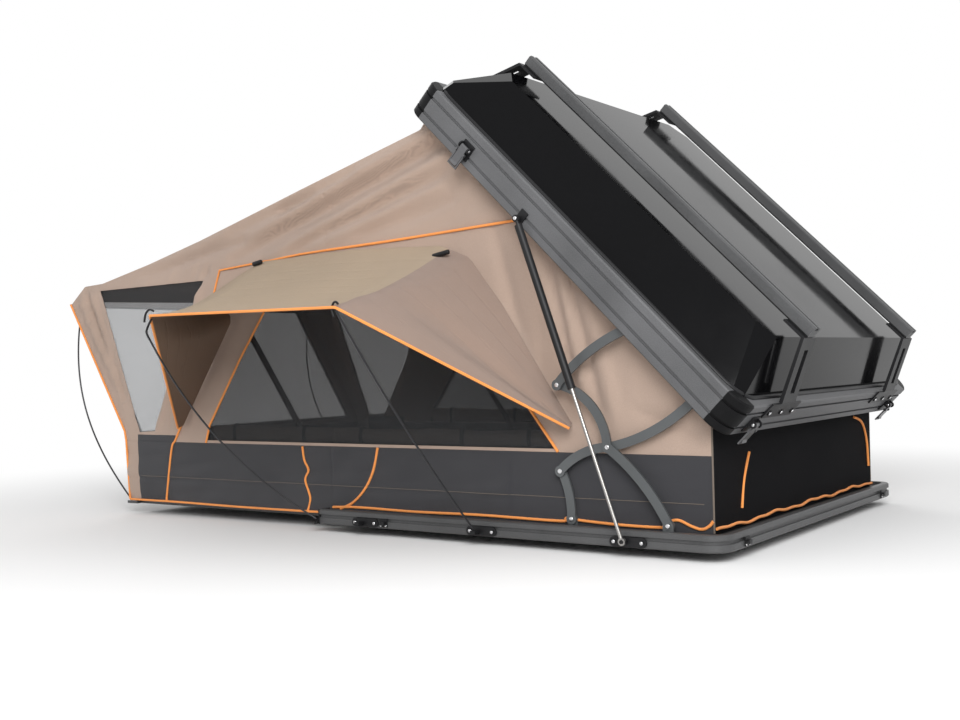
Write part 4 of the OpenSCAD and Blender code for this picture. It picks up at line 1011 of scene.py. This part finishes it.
EDGE_LINE = [(-1977, 770), KNEE, (-1673, 261), (-1659, 52)]
SEAM_LINE_BASE = [(60, 907), (29, 906), (-368, 887), (-671, 877)]
SEAM_LINE_FOLD = [(-673, 877), (-778, 873), (-1159, 846), (-1192, 764)]
POST_LINE = [(-954, 695), (-1074, 541), (-1228, 322), (-1249, 262)]
ZIP_FOLD = [(-796, 258), (-789, 215), (-772, 183), (-787, 151), (-767, 95), (-780, 52)]
ZIP_LEFT = [(-1371, 321), (-1404, 268), (-1426, 233), (-1459, 56)]
ZIP_BASE = [(-482, 260), (-501, 192), (-535, 135), (-585, 90), (-640, 66)]
WINDOW_EDGE = [(40, 426), (47, 413), (155, 270), (161, 262)]
HEM_FOLD = [(-1656, 51), (-1391, 52), (-1092, 50), (-817, 51), (-673, 52)]
HEM_BASE = [(-671, 70), (-562, 74), (-326, 72), (-107, 75), (161, 73), (182, 82), (231, 78), (347, 73),
    (464, 73), (480, 79), (500, 92), (522, 94), (552, 82), (580, 75), (600, 82), (614, 97)]
base_paths, edge_paths = [], []
for side, word in SIDES:
    base_paths += [smooth_path(on_wall(side, 3.5, *line)) for line in (SEAM_LINE_BASE, ZIP_BASE, HEM_BASE)]
    base_paths.append(on_wall(side, 2.5, *WINDOW_EDGE))
    edge_paths.append(on_wall(side, 2.5, *EDGE_LINE))
    wall_paths = [on_wall(side, 3, *SEAM_LINE_FOLD), on_wall(side, 3, *POST_LINE)]
    welts(f"outer_wall_piping_{word}", wall_paths, WELT, "panel")
    band_paths = [smooth_path(on_wall(side, 4, *line)) for line in (ZIP_FOLD, HEM_FOLD, ZIP_LEFT)]
    welts(f"outer_band_piping_{word}", band_paths, WELT, "panel")
gusset_hem = []
for y in range(-630, 631, 15):
    gusset_hem.append(Vector((620, y, 74 + 3 * math.sin(y / 52) + 2 * math.sin(y / 21))) * MM)
gusset_arcs = [[Vector((619.5, y, z)) * MM for y, z in line] for line in (
    [(-468, 112), (-452, 183), (-412, 255)], [(464, 302), (545, 280), (590, 220), (604, 131)])]
base_paths += [gusset_hem] + [smooth_path(line) for line in gusset_arcs]
welts("piping", base_paths, BASE_WELT, "base")
welts("edge_piping", edge_paths, WELT, "panel")
EDGE_STEPS = 240
edge_runs = {}
previous = None
for i in range(EDGE_STEPS):
    a, b = hood(i / EDGE_STEPS, 1.0), hood((i + 1) / EDGE_STEPS, 1.0)
    body = side_of_split((a + b) / 2)
    spot = (body, strip_of((a + b) / 2, body))
    if spot != previous:
        edge_runs.setdefault(spot, []).append([a])
    edge_runs[spot][-1].append(b)
    previous = spot
for (body, k), runs in edge_runs.items():
    welts(f"awning_piping_{body}_{k}", runs, HOOD_WELT, body)

# %% [markdown]
# ## Seams, rods and hooks
# A paler thread shows where the band's two layers are sewn, and a dark binding closes each corner of
# the gusset. The spring rods at the eave bend under load, so they are drawn as smooth tubes that fold
# down with the cloth. Each awning rod ends in a hook that carries the hood's corner. By hand it would
# be unhooked and put away; here it rides on the base with its rod.

# %% Seams and bindings
STITCH_Z, STITCH_OUT = 138.0, 1.3


def band_stitch(side, x0, x1):
    path = []
    for x in range(x0, x1 + 1, 12):
        p = Vector((x, 0, STITCH_Z)) * MM
        path.append(Vector((p.x, side * (WALL + band_lean(p) + STITCH_OUT * MM), p.z)))
    return path


base_seams = [band_stitch(NEAR, -671, 600), band_stitch(FAR, -671, 600)]
bindings = [[Vector((615, side * 635, z)) * MM for z in range(66, 340, 16)] for side in (NEAR, FAR)]
welts("band_stitches", base_seams, STITCH, "base", stitch_thread)
for side, word in SIDES:
    seam = [band_stitch(side, -1588, -673)]
    welts(f"outer_band_stitch_{word}", seam, STITCH, "panel", stitch_thread)
welts("corner_bindings", bindings, BINDING, "base", stitch_thread)

# %% Rods, hooks and toggles
ROD_STEPS, PROP_STEPS = 32, 24
EAVE_BEND = [(-1945, 712), (-2006, 450), (-1905, 250), (-1672, 46.6)]


def bent_rod(side):
    a, b, c, d = (Vector((x, side * 620, z)) * MM for x, z in EAVE_BEND)
    path = []
    for i in range(ROD_STEPS + 1):
        t = i / ROD_STEPS
        path.append(a * (1 - t) ** 3 + b * 3 * t * (1 - t) ** 2 + c * 3 * t * t * (1 - t) + d * t ** 3)
    return path


bent = [bent_rod(NEAR), bent_rod(FAR)]
rods = welts("eave_spring_rods", bent, ROD, "panel", dark_rod)
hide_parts("eave_rods")

LEFT_FOOT, RIGHT_FOOT = Vector((-674.5, -712, 42.8)), Vector((-69, -722, 45.3))
HOOKS = {"left": [[(12, 13), (-3, 18), (-15, 14), (-25, 3), (-31, -18)],
    [(2, -10), (-14, -30), (-22, -46), (-17, -58), (-8, -70)]],
    "right": [[(8, 8), (0, 14), (-9, 10), (-14, -6), (-8, -24)]]}
PROPS = {"left": (LEFT_TIP, Vector((-8, 4, -70)), LEFT_FOOT, Vector((-118, 0, -72)), "panel_fold"),
    "right": (RIGHT_TIP, Vector((0, 4, -9)), RIGHT_FOOT, Vector((-20, 0, -14)), "lid_hinge")}
for word, (tip, top, foot, bow, joint) in PROPS.items():
    a = tip + top
    middle = (a + foot) / 2 + bow
    steps = [i / PROP_STEPS for i in range(PROP_STEPS + 1)]
    path = [(a * (1 - t) ** 2 + middle * 2 * t * (1 - t) + foot * t * t) * MM for t in steps]
    prop = welts(f"awning_prop_{word}", [path], ROD, "base", dark_rod)
    if word == "left":
        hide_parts("awning_rods")
    bends = [smooth_path([(tip + Vector((x, 4, z))) * MM for x, z in bend]) for bend in HOOKS[word]]
    welts(f"rod_hook_{word}", bends, HOOK_ROD, "base", fitting_black)

for word, u, v, length in (("left", 0.335, 0.06, 38), ("right", 0.708, 0.09, 58)):
    toggle_mesh = bmesh.new()
    seat = hood(u, v) + Vector((0, -4, 8)) * MM
    turn_along = Matrix.Rotation(math.radians(80), 4, "Y")
    bmesh.ops.create_cone(toggle_mesh, cap_ends=True, segments=16, radius1=8 * MM, radius2=7 * MM,
        depth=length * MM, matrix=Matrix.Translation(seat) @ turn_along)
    ends = [e for e in toggle_mesh.edges if e.calc_length() < 10 * MM]
    round_edges(toggle_mesh, ends, 3 * MM)
    add_tube(toggle_mesh, [seat + Vector((-5, 4, 0)) * MM, seat + Vector((0, 6, -7)) * MM,
        seat + Vector((6, 4, -1)) * MM], 2 * MM)
    toggle = piece(f"awning_toggle_{word}", toggle_mesh, fitting_black)
    body = side_of_split(seat)
    fold_away(toggle, body)

# %% Ties round the rolled flaps
TIE_WIDTH, TIE_WIDE, TIE_TALL, TIE_THICK = 14 * MM, 17 * MM, 29 * MM, 1.5 * MM


def flap_ties(name, body, places):
    bm = bmesh.new()
    for side in (NEAR, FAR):
        for x in places:
            middle = Matrix.Translation((x * MM, side * ROLL_Y, ROLL_Z + roll_wander(x * MM)))
            oval = Matrix.Diagonal((1, TIE_WIDE, TIE_TALL * roll_fatness(x * MM), 1))
            turned = middle @ oval @ Matrix.Rotation(math.pi / 2, 4, "Y")
            bmesh.ops.create_cone(bm, cap_ends=False, segments=ROLL_SIDES, radius1=1, radius2=1,
                depth=TIE_WIDTH, matrix=turned)
    tie = cloth_piece(name, bm, webbing_black, TIE_THICK)
    fold_away(tie, body)


flap_ties("flap_ties", "base", (-560, -172, 60))
flap_ties("outer_flap_ties", "panel", (-1120, -800))

# %% [markdown]
# ## Mattresses and headliner
# Each mattress half is foam in a knitted cover. The form starts a little small, is remeshed, and
# Blender's Cloth swells it with pressure, by 5 mm at most.
# The sewn channels come after that, because the remesh would smooth them away. The lid's liner is
# only 8 mm thick, so its quilting is moved on a grid that stands in the lid's own frame.

# %% Mattresses
QUILT_ROWS, QUILT_DEPTH, CHANNEL_HALF = 6, 4 * MM, 14 * MM
CORNER_ROUND, RIM_ROUND, VOXEL = 40 * MM, 9 * MM, 12 * MM
SWELL_PRESSURE, SWELL_CAP, SWELL_STEPS = 4, 5 * MM, 20


def swell(obj):
    start = [v.co.copy() for v in obj.data.vertices]
    cloth = obj.modifiers.new("swell", "CLOTH")
    cloth.settings.use_pressure = True
    cloth.settings.uniform_pressure_force = SWELL_PRESSURE
    cloth.settings.effector_weights.gravity = 0
    for step in range(1, SWELL_STEPS + 1):
        scene.frame_set(step)
    settled = obj.evaluated_get(bpy.context.evaluated_depsgraph_get())
    moved = [v.co.copy() for v in settled.data.vertices]
    obj.modifiers.remove(cloth)
    for v, a, b in zip(obj.data.vertices, start, moved):
        way = b - a
        v.co = a + way * min(1.0, SWELL_CAP / max(way.length, 1e-9))
    scene.frame_set(1)


def mattress(name, node):
    low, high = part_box(node)
    inset = Vector((7, 7, 4)) * MM
    size = high - low - 2 * inset
    bm = bmesh.new()
    place_pad = Matrix.Translation((low + high) / 2) @ Matrix.Diagonal((*size, 1))
    bmesh.ops.create_cube(bm, size=1, matrix=place_pad)
    upright = [e for e in bm.edges if abs(e.verts[0].co.z - e.verts[1].co.z) > 0.01]
    round_edges(bm, upright, CORNER_ROUND, 6)
    rims = [e for e in bm.edges if len(e.link_faces) == 2 and e.calc_face_angle() > 1.2]
    round_edges(bm, rims, RIM_ROUND)
    pad = piece(name, bm, mattress_knit)
    remesh = pad.modifiers.new("even faces", "REMESH")
    remesh.mode = "VOXEL"
    remesh.voxel_size = VOXEL
    even = bpy.data.meshes.new_from_object(pad.evaluated_get(bpy.context.evaluated_depsgraph_get()))
    pad.modifiers.clear()
    pad.data = even
    swell(pad)
    for v in even.vertices:
        if v.co.z > (low.z + high.z) / 2:
            rows = (v.co.x - low.x) / (high.x - low.x) * QUILT_ROWS
            channel = abs(rows - round(rows)) * (high.x - low.x) / QUILT_ROWS
            v.co.z -= QUILT_DEPTH * math.exp(-((channel / CHANNEL_HALF) ** 2))
    finer = pad.modifiers.new("finer faces", "SUBSURF")
    finer.levels = finer.render_levels = 1
    even.polygons.foreach_set("use_smooth", [True] * len(even.polygons))
    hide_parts(node)
    return pad


scene.frame_start, scene.frame_end = 1, SWELL_STEPS
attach(mattress("mattress", "base_mattress"), "base")
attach(mattress("outer_mattress", "panel_mattress"), "panel")

# %% Quilted liner under the lid's skin
HALF_ROOT = math.sqrt(0.5)
RIM_Z, HALF_LEN = 72.0, 672.0


def on_open_lid(x, y, z):
    u, n = x + HALF_LEN, z - RIM_Z
    return Vector((-287.3 + HALF_ROOT * (u + n), y, 1264.7 + HALF_ROOT * (n - u))) * MM


LINER_X, LINER_HALF_Y, LINER_N = (-530.0, 445.0), 528.0, (226.2, 233.2)
LINER_ROWS, LINER_COLUMNS, LINER_THICK = 7, 8, 1.4 * MM
liner_mesh = unit_grid(98, 104)
for v in liner_mesh.verts:
    s, t = v.co.x + 0.5, v.co.y + 0.5
    puff = abs(math.sin(math.pi * s * LINER_ROWS) * math.sin(math.pi * t * LINER_COLUMNS)) ** 0.4
    n = LINER_N[1] - 1.5 + (LINER_N[0] - LINER_N[1] + 2.0) * puff
    x = LINER_X[0] + (LINER_X[1] - LINER_X[0]) * s
    v.co = on_open_lid(x, (2 * t - 1) * LINER_HALF_Y, RIM_Z + n)
bmesh.ops.recalc_face_normals(liner_mesh, faces=liner_mesh.faces[:])
if sum((f.normal.x for f in liner_mesh.faces)) > 0:
    bmesh.ops.reverse_faces(liner_mesh, faces=liner_mesh.faces[:])
liner = cloth_piece("quilted_liner", liner_mesh, liner_felt, LINER_THICK)
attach(liner, "lid")
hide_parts("headliner")
print("liner", len(liner.data.polygons), "faces")

# %% [markdown]
# ## Small fittings
# Rivets, pins and screws are too small for the CAD, but the eye finds them at once. Each head
# is a short cone whose upper rim is bevelled to a dome, and it rides on the body that carries it.

# %% Rivet and screw heads
def add_head(bm, centre, outward, radius, height):
    turn = Vector((0, 0, 1)).rotation_difference(Vector(outward)).to_matrix().to_4x4()
    middle = Vector(centre) + Vector(outward) * height / 2
    made = bmesh.ops.create_cone(bm, cap_ends=True, segments=20, radius1=radius, radius2=radius * 0.8,
        depth=height, matrix=Matrix.Translation(middle * MM) @ turn @ Matrix.Scale(MM, 4))
    top = Vector(centre).dot(Vector(outward)) + height
    rim = set()
    for v in made["verts"]:
        for e in v.link_edges:
            if all(abs(end.co.dot(Vector(outward)) / MM - top) < 0.05 for end in e.verts):
                rim.add(e)
    round_edges(bm, list(rim), height * 0.6 * MM)


def heads(name, body, spots, radius, height):
    bm = bmesh.new()
    for centre, outward in spots:
        add_head(bm, centre, outward, radius, height)
    obj = piece(name, bm, bright_steel)
    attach(obj, body)
    print(name, len(spots), "heads")


ARM_RIVETS = {"base": (504, 82, 673.0, 2.0), "short_link": (206, 82, 651.7, 2.0),
    "cross_arm": (178.3, 211.4, 659.2, 0.4), "long_arm": (330, 280, 666.7, 2.0),
    "top_link": (185.4, 446, 676.7, 0.9)}
for side, word in SIDES:
    for body, (x, z, y, height) in ARM_RIVETS.items():
        rider = body if body == "base" else f"{body}_{word}"
        heads(f"rivet_{body}_{word}", rider, [((x, side * y, z), (0, side, 0))], 7.0, height)
    plate_screws = [((x, side * 708, 40), (0, side, 0)) for x in (-521, -446, -94, -19, 365, 446)]
    heads(f"plate_screws_{word}", "base", plate_screws, 5.2, 1.6)
for side, word in SIDES:
    strut_top = on_open_lid(-141, side * 727.5, 87) / MM
    heads(f"strut_pin_{word}", f"strut_cylinder_{word}", [(strut_top, (0, side, 0))], 6.0, 2.4)

lid_out = on_open_lid(1, 0, 0) - on_open_lid(0, 0, 0)
lid_out.normalize()
bracket_screws = []
for bar_y in (-440, 440):
    for pitch_y in (-78, 0, 78):
        for x, way in ((680, 1), (-680, -1)):
            bracket_screws.append((on_open_lid(x, bar_y + pitch_y, 148) / MM, lid_out * way))
heads("bracket_screws", "lid", bracket_screws, 5.6, 1.8)

latch_pins, catch_screws = [], []
for side in (NEAR, FAR):
    for end in (-1, 1):
        latch_pins.append((on_open_lid(685, side * 568 + end * 20, 118) / MM, Vector((0, end, 0))))
        latch_pins.append((on_open_lid(-413 + end * 20, side * 713, 118) / MM, lid_out * end))
        catch_screws.append(((676, side * 568 + end * 9.5, 34), (1, 0, 0)))
        catch_screws.append(((-413 + end * 9.5, side * 704, 34), (0, side, 0)))
heads("latch_pin_heads", "lid", latch_pins, 4.6, 1.6)
heads("catch_screws", "base", catch_screws, 3.4, 1.4)

# %% [markdown]
# ## Gasket
# A soft black seal closes the gap between the lid's frame and the foot of its skin. It is one closed
# tube with rounded corners, laid out on the shut lid and carried to where the lid stands open.

# %% Gasket round the lid's skin
GASKET_X, GASKET_Y, GASKET_Z, GASKET_CORNER, GASKET_RADIUS = 643.0, 671.0, 172.0, 70.0, 7 * MM
GASKET_STEPS = 8
gasket_path = []
for sx, sy, start in ((1, 1, 0), (-1, 1, 90), (-1, -1, 180), (1, -1, 270)):
    for k in range(GASKET_STEPS + 1):
        angle = math.radians(start + k * 90 / GASKET_STEPS)
        x = sx * (GASKET_X - GASKET_CORNER) + GASKET_CORNER * math.cos(angle)
        y = sy * (GASKET_Y - GASKET_CORNER) + GASKET_CORNER * math.sin(angle)
        gasket_path.append(on_open_lid(x, y, GASKET_Z))
gasket_path.append(gasket_path[0].copy())
gasket_mesh = bmesh.new()
add_tube(gasket_mesh, gasket_path, GASKET_RADIUS)
gasket = piece("skin_gasket", gasket_mesh, fitting_black)
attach(gasket, "lid")
print("gasket", len(gasket.data.polygons), "faces")
